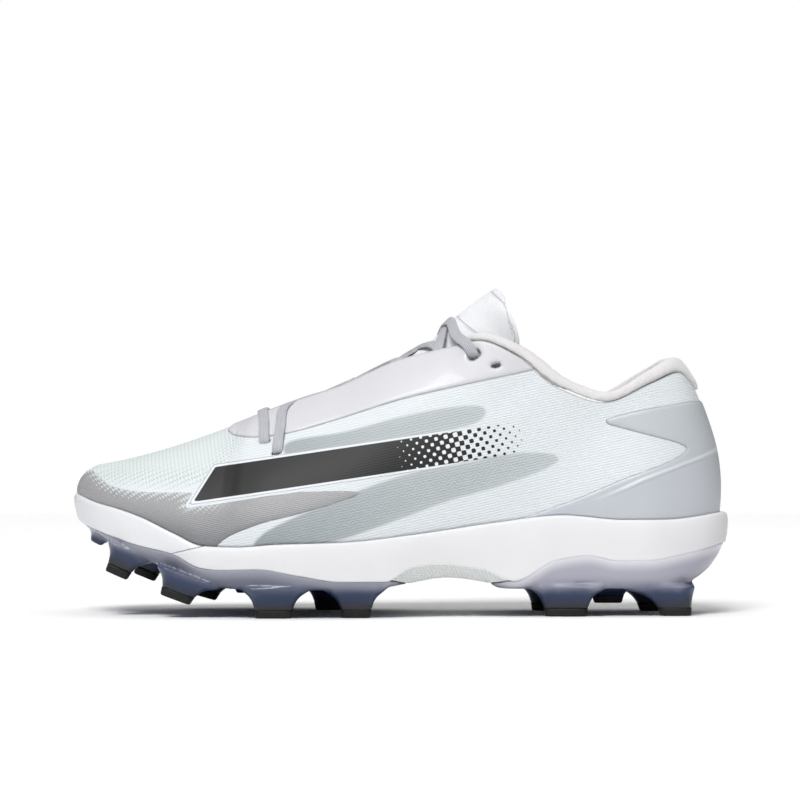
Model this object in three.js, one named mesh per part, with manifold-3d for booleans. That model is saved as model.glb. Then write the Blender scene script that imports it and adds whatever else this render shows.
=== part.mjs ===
// A left baseball cleat, seen as a shoe standing empty on its studs.
// The toe points along -X, the heel along +X, the outer side of the foot along -Y.
import * as THREE from 'three';
import { mergeVertices } from 'three/addons/utils/BufferGeometryUtils.js';
import Module from 'manifold-3d';

const wasm = await Module();
wasm.setup();

// Driving dimensions, in millimetres.
const shoeLength = 300;
const ballWidth = 107;
const studHeight = 12.6;
const soleStack = 34;
const upperHeight = 63.4;
const upperWall = 1.8;
const overlayWall = 0.8;
const clearance = 0.3;
const soleStep = 3;
const plateTuck = 8;
const insoleThickness = 3.5;
const collarThickness = 6.8;
const tongueThickness = 5;
const laceWidth = 5;
const laceThickness = 1.3;
const studTipHeight = 4;

// How finely the curved forms are faceted.
const stationsPerSide = 32;
const profileSteps = 8;
const tongueSteps = 10;
const laceSteps = 6;
const rollSides = 8;
const studSides = 10;

// The edge of the sole seen from above, from the back of the heel round the outer side
// to the toe and back along the inner side. Along is a share of the length and across
// a share of the ball width.
const soleEdge = [
  { name: 'heel back', along: 0.5, across: 0 },
  { name: 'heel corner, outer', along: 0.47, across: -0.206 },
  { name: 'heel, outer', along: 0.393, across: -0.341 },
  { name: 'heel front, outer', along: 0.283, across: -0.364 },
  { name: 'waist, outer', along: 0.117, across: -0.393 },
  { name: 'midfoot, outer', along: 0, across: -0.458 },
  { name: 'ball, outer', along: -0.14, across: -0.519 },
  { name: 'forefoot, outer', along: -0.283, across: -0.467 },
  { name: 'toe, outer', along: -0.407, across: -0.318 },
  { name: 'toe corner, outer', along: -0.473, across: -0.131 },
  { name: 'toe tip', along: -0.5, across: 0.075 },
  { name: 'toe corner, inner', along: -0.483, across: 0.224 },
  { name: 'toe, inner', along: -0.417, across: 0.364 },
  { name: 'forefoot, inner', along: -0.317, across: 0.449 },
  { name: 'ball, inner', along: -0.207, across: 0.477 },
  { name: 'midfoot, inner', along: -0.05, across: 0.374 },
  { name: 'waist, inner', along: 0.1, across: 0.29 },
  { name: 'heel front, inner', along: 0.267, across: 0.322 },
  { name: 'heel, inner', along: 0.383, across: 0.332 },
  { name: 'heel corner, inner', along: 0.47, across: 0.196 },
];

// Heights along the sole, as shares of the sole stack above the flat underside.
// The feather line is where the upper meets the sole.
const featherLine = [
  { at: -0.494, up: 1.247 },
  { at: -0.459, up: 1.138 },
  { at: -0.428, up: 1.071 },
  { at: -0.39, up: 0.962 },
  { at: -0.337, up: 0.747 },
  { at: -0.294, up: 0.59 },
  { at: -0.245, up: 0.574 },
  { at: -0.184, up: 0.612 },
  { at: -0.077, up: 0.641 },
  { at: 0.03, up: 0.747 },
  { at: 0.152, up: 0.897 },
  { at: 0.244, up: 0.985 },
  { at: 0.335, up: 0.924 },
  { at: 0.396, up: 0.924 },
  { at: 0.488, up: 1.003 },
];
const plateTopLine = [
  { at: -0.497, up: 0.991 },
  { at: -0.489, up: 0.882 },
  { at: -0.459, up: 0.774 },
  { at: -0.398, up: 0.6 },
  { at: -0.34, up: 0.479 },
  { at: -0.298, up: 0.303 },
  { at: -0.268, up: 0.276 },
  { at: -0.211, up: 0.288 },
  { at: -0.153, up: 0.209 },
  { at: -0.085, up: 0.126 },
  { at: -0.021, up: 0.126 },
  { at: 0.016, up: 0.303 },
  { at: 0.053, up: 0.344 },
  { at: 0.121, up: 0.276 },
  { at: 0.17, up: 0.126 },
  { at: 0.236, up: 0.397 },
  { at: 0.282, up: 0.45 },
  { at: 0.327, up: 0.382 },
  { at: 0.366, up: 0.382 },
  { at: 0.427, up: 0.465 },
  { at: 0.488, up: 0.6 },
];
const treadLine = [
  { at: -0.5, up: 0.924 },
  { at: -0.482, up: 0.815 },
  { at: -0.454, up: 0.679 },
  { at: -0.417, up: 0.512 },
  { at: -0.373, up: 0.35 },
  { at: -0.333, up: 0.203 },
  { at: -0.293, up: 0.085 },
  { at: -0.25, up: 0.012 },
  { at: -0.2, up: 0 },
  { at: -0.05, up: 0 },
  { at: 0.015, up: 0.088 },
  { at: 0.067, up: 0.156 },
  { at: 0.129, up: 0.088 },
  { at: 0.15, up: 0.009 },
  { at: 0.183, up: 0 },
  { at: 0.417, up: 0 },
  { at: 0.445, up: 0.115 },
  { at: 0.465, up: 0.224 },
  { at: 0.48, up: 0.329 },
  { at: 0.5, up: 0.68 },
];
const footbedLine = [
  { at: -0.467, up: 0.982 },
  { at: -0.417, up: 0.806 },
  { at: -0.367, up: 0.674 },
  { at: -0.317, up: 0.5 },
  { at: -0.267, up: 0.394 },
  { at: -0.167, up: 0.374 },
  { at: -0.05, up: 0.409 },
  { at: 0.05, up: 0.526 },
  { at: 0.15, up: 0.571 },
  { at: 0.25, up: 0.644 },
  { at: 0.367, up: 0.674 },
  { at: 0.45, up: 0.718 },
];

// The upper's top line, from the back of the heel (at 0) along the collar, down the
// throat and over the vamp to the toe (at 1). Along is a share of the length, centre and
// half shares of the ball width, up a share of the upper's height over the heel stack.
const frontOfThroat = 0.72;
const frontOfCollar = 0.43;
const topLine = [
  { at: 0, along: 0.451, centre: 0, half: 0, up: 0.869 },
  { at: 0.05, along: 0.4417, centre: 0, half: 0.103, up: 0.918 },
  { at: 0.1, along: 0.42, centre: 0, half: 0.182, up: 1 },
  { at: 0.16, along: 0.377, centre: 0, half: 0.248, up: 0.921 },
  { at: 0.23, along: 0.307, centre: 0, half: 0.285, up: 0.789 },
  { at: 0.3, along: 0.237, centre: 0, half: 0.294, up: 0.89 },
  { at: 0.355, along: 0.17, centre: 0.002, half: 0.28, up: 1.129 },
  { at: 0.395, along: 0.12, centre: 0.006, half: 0.252, up: 1.221 },
  { at: 0.43, along: 0.08, centre: 0.01, half: 0.215, up: 1.181 },
  { at: 0.5, along: 0, centre: 0.023, half: 0.168, up: 1.087 },
  { at: 0.58, along: -0.092, centre: 0.037, half: 0.14, up: 0.897 },
  { at: 0.66, along: -0.177, centre: 0.047, half: 0.103, up: 0.763 },
  { at: 0.7, along: -0.22, centre: 0.051, half: 0.06, up: 0.685 },
  { at: 0.72, along: -0.237, centre: 0.053, half: 0, up: 0.653 },
  { at: 0.8, along: -0.307, centre: 0.061, half: 0, up: 0.532 },
  { at: 0.88, along: -0.377, centre: 0.07, half: 0, up: 0.426 },
  { at: 0.95, along: -0.43, centre: 0.075, half: 0, up: 0.364 },
  { at: 1, along: -0.457, centre: 0.075, half: 0, up: 0.342 },
];

// How the upper's side rises from the feather line and turns over to the top line.
// Lift and reach are the lengths of the two ends of the curve, as shares of its height
// and span, lean and fall their angles in degrees, and step a share of the sole step.
const sideProfile = [
  { at: 0, lift: 0.42, lean: 6, reach: 0.34, fall: 67, step: 1.5 },
  { at: 0.1, lift: 0.4, lean: 6, reach: 0.33, fall: 74, step: 1.3 },
  { at: 0.23, lift: 0.35, lean: 8, reach: 0.3, fall: 85, step: 1 },
  { at: 0.3, lift: 0.35, lean: 8, reach: 0.3, fall: 82, step: 1 },
  { at: 0.395, lift: 0.35, lean: 10, reach: 0.3, fall: 70, step: 1 },
  { at: 0.43, lift: 0.33, lean: 10, reach: 0.33, fall: 58, step: 1 },
  { at: 0.5, lift: 0.3, lean: 10, reach: 0.36, fall: 42, step: 1 },
  { at: 0.58, lift: 0.3, lean: 10, reach: 0.4, fall: 35, step: 1 },
  { at: 0.66, lift: 0.32, lean: 12, reach: 0.42, fall: 25, step: 1 },
  { at: 0.72, lift: 0.34, lean: 12, reach: 0.42, fall: 8, step: 1 },
  { at: 0.8, lift: 0.36, lean: 14, reach: 0.42, fall: 0, step: 1 },
  { at: 0.88, lift: 0.42, lean: 14, reach: 0.42, fall: 0, step: 0.9 },
  { at: 1, lift: 0.4, lean: 8, reach: 0.36, fall: 0, step: 0.6 },
];

// The padded collar's roll: its gap over the top line, how blunt its section is, and its
// rise over the top line and its lean into the shoe, as shares of its thickness.
const collarGap = 1.5 * clearance;
const rollBluntness = 0.75;
const collarRoll = [
  { at: 0, rise: 2.1, lean: 1.35 },
  { at: 0.05, rise: 1.75, lean: 1.05 },
  { at: 0.1, rise: 1.08, lean: 0.45 },
  { at: 0.16, rise: 0.92, lean: 0.2 },
  { at: 0.43, rise: 0.8, lean: 0.15 },
];

// How far the tongue's middle stands over the edges of the throat, as a share of the
// throat's mean half width, its thickness as a share of the padded thickness, and its
// room under the upper in clearances.
const tongueCrown = [
  { at: 0.46, rise: 0.5, pad: 0.9, room: 3 },
  { at: 0.5, rise: 0.3, pad: 0.8, room: 3 },
  { at: 0.58, rise: 0.22, pad: 0.6, room: 3 },
  { at: 0.66, rise: 0.12, pad: 0.5, room: 3 },
  { at: 0.7, rise: -0.12, pad: 0.45, room: 6 },
  { at: 0.74, rise: -0.34, pad: 0.4, room: 9 },
];
const throatShares = [0.74, 0.7, 0.66, 0.62, 0.58, 0.54, 0.5, 0.46];

// The free end of the tongue over the throat, up to its top edge. Lengths along are
// shares of the shoe's length, heights shares of the upper's height, half of the width.
const tongueTop = [
  { middleAlong: 0.057, middleUp: 1.323, edgeAlong: 0.12, edgeUp: 0.905, half: 0.206, pad: 1 },
  { middleAlong: 0.073, middleUp: 1.382, edgeAlong: 0.157, edgeUp: 1.032, half: 0.21, pad: 1 },
  { middleAlong: 0.1, middleUp: 1.473, edgeAlong: 0.177, edgeUp: 1.189, half: 0.21, pad: 1 },
  { middleAlong: 0.127, middleUp: 1.555, edgeAlong: 0.17, edgeUp: 1.371, half: 0.229, pad: 0.9 },
  { middleAlong: 0.1457, middleUp: 1.614, edgeAlong: 0.158, edgeUp: 1.512, half: 0.196, pad: 0.55 },
];

// Side outlines of the overlays, as shares of the length and of the upper's height over
// the heel stack.
const eyestayOutline = [
  { along: -0.245, up: 0.8 },
  { along: -0.257, up: 0.536 },
  { along: -0.214, up: 0.536 },
  { along: -0.169, up: 0.565 },
  { along: -0.092, up: 0.667 },
  { along: 0, up: 0.804 },
  { along: 0.091, up: 0.905 },
  { along: 0.182, up: 0.998 },
  { along: 0.21, up: 1.03 },
  { along: 0.21, up: 1.5 },
  { along: -0.245, up: 1.5 },
];
const heelCounterOutline = [
  { along: 0.311, up: 0.653 },
  { along: 0.343, up: 0.724 },
  { along: 0.381, up: 0.752 },
  { along: 0.442, up: 0.797 },
  { along: 0.52, up: 0.797 },
  { along: 0.52, up: -0.3 },
  { along: 0.178, up: -0.3 },
  { along: 0.178, up: -0.035 },
  { along: 0.243, up: 0.082 },
  { along: 0.305, up: 0.211 },
  { along: 0.366, up: 0.327 },
  { along: 0.421, up: 0.42 },
  { along: 0.43, up: 0.45 },
  { along: 0.426, up: 0.495 },
  { along: 0.396, up: 0.536 },
  { along: 0.311, up: 0.631 },
];
const toeGuardOutline = [
  { along: -0.54, up: 0.284 },
  { along: -0.462, up: 0.284 },
  { along: -0.451, up: 0.226 },
  { along: -0.436, up: 0.189 },
  { along: -0.413, up: 0.161 },
  { along: -0.352, up: 0.153 },
  { along: -0.059, up: 0.153 },
  { along: -0.092, up: 0.088 },
  { along: -0.153, up: 0.002 },
  { along: -0.214, up: -0.077 },
  { along: -0.27, up: -0.21 },
  { along: -0.27, up: -0.4 },
  { along: -0.54, up: -0.4 },
];

// The seam between the toe wrap and the midsole, and the outline of the arch insert,
// as shares of the length and of the sole stack.
const toeWrapSeam = [
  { along: -0.53, up: 0.15 },
  { along: -0.34, up: 0.479 },
  { along: -0.294, up: 0.58 },
  { along: -0.23, up: 0.72 },
];
const archInsertOutline = [
  { along: -0.034, up: 0.18 },
  { along: 0.015, up: 0.082 },
  { along: 0.015, up: -0.2 },
  { along: 0.129, up: -0.2 },
  { along: 0.129, up: 0.082 },
  { along: 0.184, up: 0.15 },
  { along: 0.184, up: 1 },
  { along: -0.034, up: 1 },
];

// The studs at their roots: along is a share of the length and across of the ball width.
// Long, wide and high are shares of the basic stud, which is as high as the studs are.
// Ahead and behind are how far the root spreads that way, as shares of the flare, and it
// spreads sideways by the side flare. The cornering bends each section's ellipse towards
// a rectangle, and a stud has a tip where it is high enough for one.
const studTipLength = 16;
const studTipWidth = 8.5;
const studFlare = 8;
const studSideFlare = 0.75;
const studCornering = 0.7;
const studSunk = 4;
const leastTipShare = 1.5;
const studs = [
  {
    name: 'toe_outer', along: -0.457, across: -0.03,
    long: 0.38, wide: 0.6, high: 0.36, ahead: 0.3, behind: 0.5,
  },
  {
    name: 'toe_inner', along: -0.457, across: 0.19,
    long: 0.38, wide: 0.6, high: 0.36, ahead: 0.3, behind: 0.5,
  },
  {
    name: 'outer_1', along: -0.412, across: -0.215,
    long: 0.66, wide: 0.9, high: 0.95, ahead: 0.5, behind: 1,
  },
  {
    name: 'outer_2', along: -0.324, across: -0.35,
    long: 0.88, wide: 1, high: 0.88, ahead: 0.7, behind: 1.3,
  },
  {
    name: 'outer_3', along: -0.189, across: -0.4,
    long: 1, wide: 1, high: 1, ahead: 0.8, behind: 1.1,
  },
  {
    name: 'outer_4', along: -0.066, across: -0.36,
    long: 0.8, wide: 1, high: 1, ahead: 1.1, behind: 0.9,
  },
  {
    name: 'inner_1', along: -0.383, across: 0.275,
    long: 0.66, wide: 0.9, high: 0.9, ahead: 0.5, behind: 1,
  },
  {
    name: 'inner_2', along: -0.3, across: 0.35,
    long: 0.88, wide: 1, high: 0.84, ahead: 0.7, behind: 1.3,
  },
  {
    name: 'inner_3', along: -0.2, across: 0.36,
    long: 1, wide: 1, high: 1, ahead: 0.8, behind: 1.1,
  },
  {
    name: 'inner_4', along: -0.11, across: 0.29,
    long: 0.8, wide: 1, high: 1, ahead: 1.1, behind: 0.9,
  },
  {
    name: 'middle', along: -0.242, across: 0.02,
    long: 0.32, wide: 0.6, high: 0.3, ahead: 0.4, behind: 0.4,
  },
  {
    name: 'heel_outer_1', along: 0.249, across: -0.245,
    long: 1.17, wide: 1, high: 1, ahead: 0.9, behind: 1.1,
  },
  {
    name: 'heel_outer_2', along: 0.416, across: -0.2,
    long: 0.86, wide: 1, high: 1, ahead: 2.4, behind: 0.2,
  },
  {
    name: 'heel_inner_1', along: 0.235, across: 0.215,
    long: 1.17, wide: 1, high: 1, ahead: 0.9, behind: 1.1,
  },
  {
    name: 'heel_inner_2', along: 0.393, across: 0.2,
    long: 0.86, wide: 1, high: 1, ahead: 2.2, behind: 0.4,
  },
  {
    name: 'heel_middle', along: 0.317, across: 0,
    long: 0.8, wide: 0.9, high: 0.62, ahead: 0.8, behind: 0.8,
  },
];

// How a stud spreads towards its root: level is a share of its height, spread of the flare.
const studSpread = [
  { at: 0, spread: 0 },
  { at: 0.3, spread: 0.08 },
  { at: 0.6, spread: 0.25 },
  { at: 0.82, spread: 0.55 },
  { at: 1, spread: 1 },
];

// The rows of eyelets along the throat, and how far down the upper's side they sit.
const eyeletShares = [0.675, 0.62, 0.565, 0.51, 0.457];
const eyeletDown = 0.9;
const laceLift = 4 * clearance;

// Where the tongue's edge and the throat's edge lie on the upper's side, the throat's
// mean half width, and how the free end is set: its centre, how far it wraps round as an
// angle, and how much thinner its edges are.
const tongueLap = 0.86;
const throatLap = 0.97;
const throatHalf = 0.14;
const tongueCentre = 0.012;
const tongueWrap = 1.35;
const edgeThinning = 0.55;
const edgeThinningPower = 4;

// The cup's side from its floor (0) to its rim (1) and the plate's from its tread (0) to
// its top (1), with how far each ring lies inside the sole's edge.
const cupSide = [
  { share: 0.3, inset: 0.3 },
  { share: 0.65, inset: 0 },
  { share: 0.9, inset: 0.5 },
];
const cupFloorInset = 1.2;
const cupRimInset = 1.4;
const plateSide = [
  { share: 0, inset: plateTuck },
  { share: 0.3, inset: 0.45 * plateTuck },
  { share: 0.75, inset: 1.6 },
];
const plateTopInset = 1.2;
const rimMargin = 1.7;
const bedMargin = 2;
const coreInset = plateTuck + 1;
const wellOver = 3;

// Where the forefoot plate ends and the heel plate begins, where the sole starts to
// spring up towards the toe, and the middle and ceiling of the arch insert's outline.
const waist = 0.07;
const springStart = -0.25;
const archMiddle = 0.05;
const archCeiling = 0.5;
const studRoomInset = 0.65 * plateTuck;

// How near two corners are before they count as one.
const skinWeld = 1e-3;
const solidWeld = 1e-4;

const finishes = {
  knit: { color: 0xdde6e4, roughness: 0.85 },
  eyestay: { color: 0xf0f1f5, roughness: 0.6 },
  tongue: { color: 0xf0f1f5, roughness: 0.85 },
  collar: { color: 0xebe9e8, roughness: 0.9 },
  toeGuard: { color: 0xb0b0b1, roughness: 0.5 },
  heelCounter: { color: 0xc2c8cd, roughness: 0.5 },
  lace: { color: 0xa9aab4, roughness: 0.8 },
  midsole: { color: 0xf2f2f4, roughness: 0.6 },
  toeWrap: { color: 0xf2f2f4, roughness: 0.5 },
  plate: { color: 0xd4d5e0, roughness: 0.4 },
  archInsert: { color: 0xdbe8e3, roughness: 0.5 },
  studTip: { color: 0x4a4c55, roughness: 0.5 },
  insole: { color: 0xd9dadd, roughness: 0.85 },
};

// Smooth value of a table's column between its rows, without overshoot. With a level
// start the curve leaves its first row flat, as a form that is mirrored there does.
function smooth(table, column, at, levelStart = false) {
  const last = table.length - 1;
  if (at <= table[0].at) return table[0][column];
  if (at >= table[last].at) return table[last][column];
  const secant = (i) => (table[i + 1][column] - table[i][column]) / (table[i + 1].at - table[i].at);
  const slope = (i) => {
    if (i === 0) return levelStart ? 0 : secant(0);
    if (i === last) return secant(last - 1);
    const before = secant(i - 1);
    const after = secant(i);
    return before * after <= 0 ? 0 : (2 * before * after) / (before + after);
  };
  let row = 0;
  while (table[row + 1].at < at) row += 1;
  const span = table[row + 1].at - table[row].at;
  const t = (at - table[row].at) / span;
  const cube = t * t * t;
  const square = t * t;
  return (2 * cube - 3 * square + 1) * table[row][column]
    + (cube - 2 * square + t) * span * slope(row)
    + (3 * square - 2 * cube) * table[row + 1][column]
    + (cube - square) * span * slope(row + 1);
}

// Heights over the ground, from shares of the sole stack and of the upper's height.
function soleLevel(share) {
  return studHeight + share * soleStack;
}
function upperLevel(share) {
  return studHeight + soleStack + share * upperHeight;
}
function lineLevel(line, x) {
  return soleLevel(smooth(line, 'up', x / shoeLength));
}

// The sole's edge as two half curves, outer and inner, each measured from the back of
// the heel (share 0) to the toe tip (share 1) by the length of its own path.
const edgeSamples = 240;
const edgeCurve = new THREE.CatmullRomCurve3(
  soleEdge.map((row) => new THREE.Vector3(row.along * shoeLength, row.across * ballWidth, 0)),
  true,
  'centripetal',
);
const toeTipShare = soleEdge.findIndex((row) => row.name === 'toe tip') / soleEdge.length;

function halfCurve(side) {
  const points = [];
  for (let i = 0; i <= edgeSamples; i += 1) {
    const share = i / edgeSamples;
    const along = side === 'outer' ? share * toeTipShare : 1 - share * (1 - toeTipShare);
    points.push(edgeCurve.getPoint(along % 1));
  }
  const travelled = [0];
  for (let i = 1; i < points.length; i += 1) {
    travelled.push(travelled[i - 1] + points[i].distanceTo(points[i - 1]));
  }
  return { points, travelled, total: travelled[edgeSamples] };
}
const edgeHalves = { outer: halfCurve('outer'), inner: halfCurve('inner') };

function edgeAt(side, share) {
  const { points, travelled, total } = edgeHalves[side];
  const goal = Math.min(Math.max(share, 0), 1) * total;
  let i = 1;
  while (i < edgeSamples && travelled[i] < goal) i += 1;
  const t = (goal - travelled[i - 1]) / (travelled[i] - travelled[i - 1]);
  return points[i - 1].clone().lerp(points[i], t);
}

// A place on the sole's edge moved into the shoe, found from its neighbours on either
// side, across the heel's back and the toe's tip too.
function neighbourEdge(side, share) {
  const other = side === 'outer' ? 'inner' : 'outer';
  if (share < 0) return edgeAt(other, -share);
  if (share > 1) return edgeAt(other, 2 - share);
  return edgeAt(side, share);
}
function edgeInset(side, share, inset) {
  const reach = 0.006;
  const before = neighbourEdge(side, share - reach);
  const after = neighbourEdge(side, share + reach);
  const along = after.sub(before).normalize();
  const inward = new THREE.Vector3(-along.y, along.x, 0);
  if (side === 'outer') inward.negate();
  return edgeAt(side, share).addScaledVector(inward, inset);
}

// Where the upper meets the sole, and its top line, at a share of one side.
function featherPoint(side, share) {
  const step = soleStep * smooth(sideProfile, 'step', share);
  const point = edgeInset(side, share, step);
  point.z = lineLevel(featherLine, point.x);
  return point;
}
function topPoint(side, share) {
  const sign = side === 'outer' ? -1 : 1;
  const half = share >= frontOfThroat ? 0 : smooth(topLine, 'half', share);
  const across = smooth(topLine, 'centre', share) + sign * half;
  return new THREE.Vector3(
    smooth(topLine, 'along', share, true) * shoeLength,
    across * ballWidth,
    upperLevel(smooth(topLine, 'up', share, true)),
  );
}

// The outer face of the upper: share runs from heel to toe along one side, and rise
// from the feather line (0) to the top line (1).
function upperPoint(side, share, rise) {
  const feather = featherPoint(side, share);
  const top = topPoint(side, share);
  const height = top.z - feather.z;
  const outward = feather.clone().sub(top).setZ(0).normalize();
  const span = feather.distanceTo(top);
  const lean = THREE.MathUtils.degToRad(smooth(sideProfile, 'lean', share));
  const fall = THREE.MathUtils.degToRad(smooth(sideProfile, 'fall', share));
  const lift = height * smooth(sideProfile, 'lift', share);
  const reach = span * smooth(sideProfile, 'reach', share);
  const first = feather.clone().addScaledVector(outward, lift * Math.sin(lean));
  first.z += lift * Math.cos(lean);
  const second = top.clone().addScaledVector(outward, reach * Math.cos(fall));
  second.z += reach * (ridgeSlope(share) * outward.x * Math.cos(fall) - Math.sin(fall));
  return new THREE.CubicBezierCurve3(feather, first, second, top).getPoint(rise);
}

// The slope of the ridge over the vamp, so that both sides meet there without a crease.
function ridgeSlope(share) {
  if (share <= frontOfThroat) return 0;
  const reach = 0.01;
  const from = topPoint('outer', share - reach);
  const to = topPoint('outer', Math.min(share + reach, 1));
  return (to.z - from.z) / (to.x - from.x);
}

// The upper's outward direction at a place on its outer face.
function sideNormal(side, share, rise) {
  const step = 0.004;
  const other = side === 'outer' ? 'inner' : 'outer';
  const place = (value) => {
    if (value < 0) return upperPoint(other, -value, rise);
    if (value > 1) return upperPoint(other, 2 - value, rise);
    return upperPoint(side, value, rise);
  };
  const along = place(share + step).sub(place(share - step));
  const low = Math.max(rise - step, 0);
  const high = Math.min(rise + step, 1);
  const upward = upperPoint(side, share, high).sub(upperPoint(side, share, low));
  const normal = along.cross(upward).normalize();
  return side === 'outer' ? normal.negate() : normal;
}
function upperNormal(side, share, rise) {
  const normal = sideNormal(side, share, rise);
  const onRidge = rise === 1 && share >= frontOfThroat;
  if (!onRidge) return normal;
  const other = side === 'outer' ? 'inner' : 'outer';
  return normal.add(sideNormal(other, share, rise)).normalize();
}
function offsetPoint(side, share, rise, offset) {
  const point = upperPoint(side, share, rise);
  const level = point.z;
  point.addScaledVector(upperNormal(side, share, rise), offset);
  if (rise === 0) point.z = level;
  return point;
}

// Shares along one side: even in the collar and throat, and even again over the vamp,
// with one row exactly at the front of the throat.
function stationShares() {
  const behind = Math.round(stationsPerSide * frontOfThroat);
  const ahead = stationsPerSide - behind;
  const shares = [];
  for (let i = 0; i <= behind; i += 1) shares.push((i / behind) * frontOfThroat);
  for (let i = 1; i <= ahead; i += 1) shares.push(frontOfThroat + (i / ahead) * (1 - frontOfThroat));
  return shares;
}
const stations = stationShares();
const throatStation = stations.indexOf(frontOfThroat);

// A list of triangles that grows point by point and becomes one closed mesh.
class Skin {
  constructor() {
    this.corners = [];
  }

  triangle(a, b, c) {
    this.corners.push(a.x, a.y, a.z, b.x, b.y, b.z, c.x, c.y, c.z);
  }

  quad(a, b, c, d) {
    this.triangle(a, b, c);
    this.triangle(a, c, d);
  }

  geometry() {
    const loose = new THREE.BufferGeometry();
    loose.setAttribute('position', new THREE.Float32BufferAttribute(this.corners, 3));
    const merged = mergeVertices(loose, skinWeld);
    return facingOut(withoutFlatTriangles(merged));
  }
}

function withoutFlatTriangles(geometry) {
  const index = geometry.index.array;
  const kept = [];
  for (let i = 0; i < index.length; i += 3) {
    const [a, b, c] = [index[i], index[i + 1], index[i + 2]];
    if (a !== b && b !== c && c !== a) kept.push(a, b, c);
  }
  geometry.setIndex(kept);
  return geometry;
}

function facingOut(geometry) {
  const index = geometry.index.array;
  const position = geometry.getAttribute('position');
  const [a, b, c] = [new THREE.Vector3(), new THREE.Vector3(), new THREE.Vector3()];
  let volume = 0;
  for (let i = 0; i < index.length; i += 3) {
    a.fromBufferAttribute(position, index[i]);
    b.fromBufferAttribute(position, index[i + 1]);
    c.fromBufferAttribute(position, index[i + 2]);
    volume += a.dot(b.cross(c));
  }
  if (volume >= 0) return geometry;
  const flipped = [];
  for (let i = 0; i < index.length; i += 3) flipped.push(index[i], index[i + 2], index[i + 1]);
  geometry.setIndex(flipped);
  return geometry;
}

// A shell that follows the upper between two offsets from its outer face.
function upperShell(low, high) {
  const skin = new Skin();
  for (const side of ['outer', 'inner']) {
    const grid = (offset) => stations.map((share) => {
      const row = [];
      for (let j = 0; j <= profileSteps; j += 1) {
        row.push(offsetPoint(side, share, j / profileSteps, offset));
      }
      return row;
    });
    const outside = grid(high);
    const inside = grid(low);
    const turned = side === 'inner';
    const face = (a, b, c, d) => (turned ? skin.quad(d, c, b, a) : skin.quad(a, b, c, d));
    for (let i = 0; i < stations.length - 1; i += 1) {
      for (let j = 0; j < profileSteps; j += 1) {
        face(outside[i][j], outside[i][j + 1], outside[i + 1][j + 1], outside[i + 1][j]);
        face(inside[i][j], inside[i + 1][j], inside[i + 1][j + 1], inside[i][j + 1]);
      }
      face(outside[i][0], outside[i + 1][0], inside[i + 1][0], inside[i][0]);
      if (i >= throatStation) continue;
      const last = profileSteps;
      face(outside[i][last], inside[i][last], inside[i + 1][last], outside[i + 1][last]);
    }
  }
  return skin.geometry();
}

// A solid from closed rings round the sole, with the first and last ring closed by
// strips that run straight across the shoe.
function ringSolid(rings) {
  const skin = new Skin();
  const count = stations.length;
  const points = rings.map(({ inset, level }) => {
    const half = (side) => stations.map((share) => {
      const point = edgeInset(side, share, inset);
      point.z = level(point.x);
      return point;
    });
    return { outer: half('outer'), inner: half('inner') };
  });
  for (let k = 0; k < points.length - 1; k += 1) {
    const [low, high] = [points[k], points[k + 1]];
    const narrows = rings[k + 1].inset > rings[k].inset;
    for (let i = 0; i < count - 1; i += 1) {
      for (const [a, b, turned] of [[low.outer, high.outer, false], [low.inner, high.inner, true]]) {
        const corners = [a[i], a[i + 1], b[i + 1], b[i]];
        if (turned) corners.reverse();
        const start = narrows === turned ? 0 : 1;
        skin.quad(corners[start], corners[start + 1], corners[start + 2], corners[(start + 3) % 4]);
      }
    }
  }
  const first = points[0];
  const last = points[points.length - 1];
  for (let i = 0; i < count - 1; i += 1) {
    skin.quad(first.inner[i], first.inner[i + 1], first.outer[i + 1], first.outer[i]);
    skin.quad(last.inner[i], last.outer[i], last.outer[i + 1], last.inner[i + 1]);
  }
  return skin.geometry();
}

// A prism with a side outline, right through the shoe from side to side.
function sidePrism(outline, level) {
  const shape = new THREE.Shape(
    outline.map((row) => new THREE.Vector2(row.along * shoeLength, level(row.up))),
  );
  const depth = 2 * ballWidth;
  const prism = new THREE.ExtrudeGeometry(shape, { depth, bevelEnabled: false });
  prism.translate(0, 0, -depth / 2);
  prism.rotateX(Math.PI / 2);
  return prism;
}

// Solids joined and cut.
function toSolid(geometry) {
  const bare = geometry.clone();
  bare.deleteAttribute('normal');
  bare.deleteAttribute('uv');
  const merged = mergeVertices(bare, solidWeld);
  return new wasm.Manifold(new wasm.Mesh({
    numProp: 3,
    vertProperties: new Float32Array(merged.getAttribute('position').array),
    triVerts: new Uint32Array(merged.index.array),
  }));
}
function fromSolid(solid) {
  const { vertProperties, triVerts, numProp } = solid.getMesh();
  const geometry = new THREE.BufferGeometry();
  const places = [];
  for (let i = 0; i < vertProperties.length; i += numProp) {
    places.push(vertProperties[i], vertProperties[i + 1], vertProperties[i + 2]);
  }
  geometry.setAttribute('position', new THREE.Float32BufferAttribute(places, 3));
  geometry.setIndex(Array.from(triVerts));
  return geometry;
}

const group = new THREE.Group();

function addPiece(name, geometry, finish) {
  const shaded = geometry.clone();
  shaded.computeVertexNormals();
  const material = new THREE.MeshStandardMaterial({ ...finish, metalness: 0 });
  const mesh = new THREE.Mesh(shaded, material);
  mesh.name = name;
  group.add(mesh);
  return mesh;
}

// The upper, one hollow shell, open at collar and throat and along its underside.
function upper() {
  return upperShell(-upperWall, 0);
}

// An overlay: the part of a thin shell over the upper that lies inside a side outline.
const overlayForm = toSolid(upperShell(clearance, clearance + overlayWall));
function overlay(outline) {
  return fromSolid(overlayForm.intersect(toSolid(sidePrism(outline, upperLevel))));
}

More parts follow.
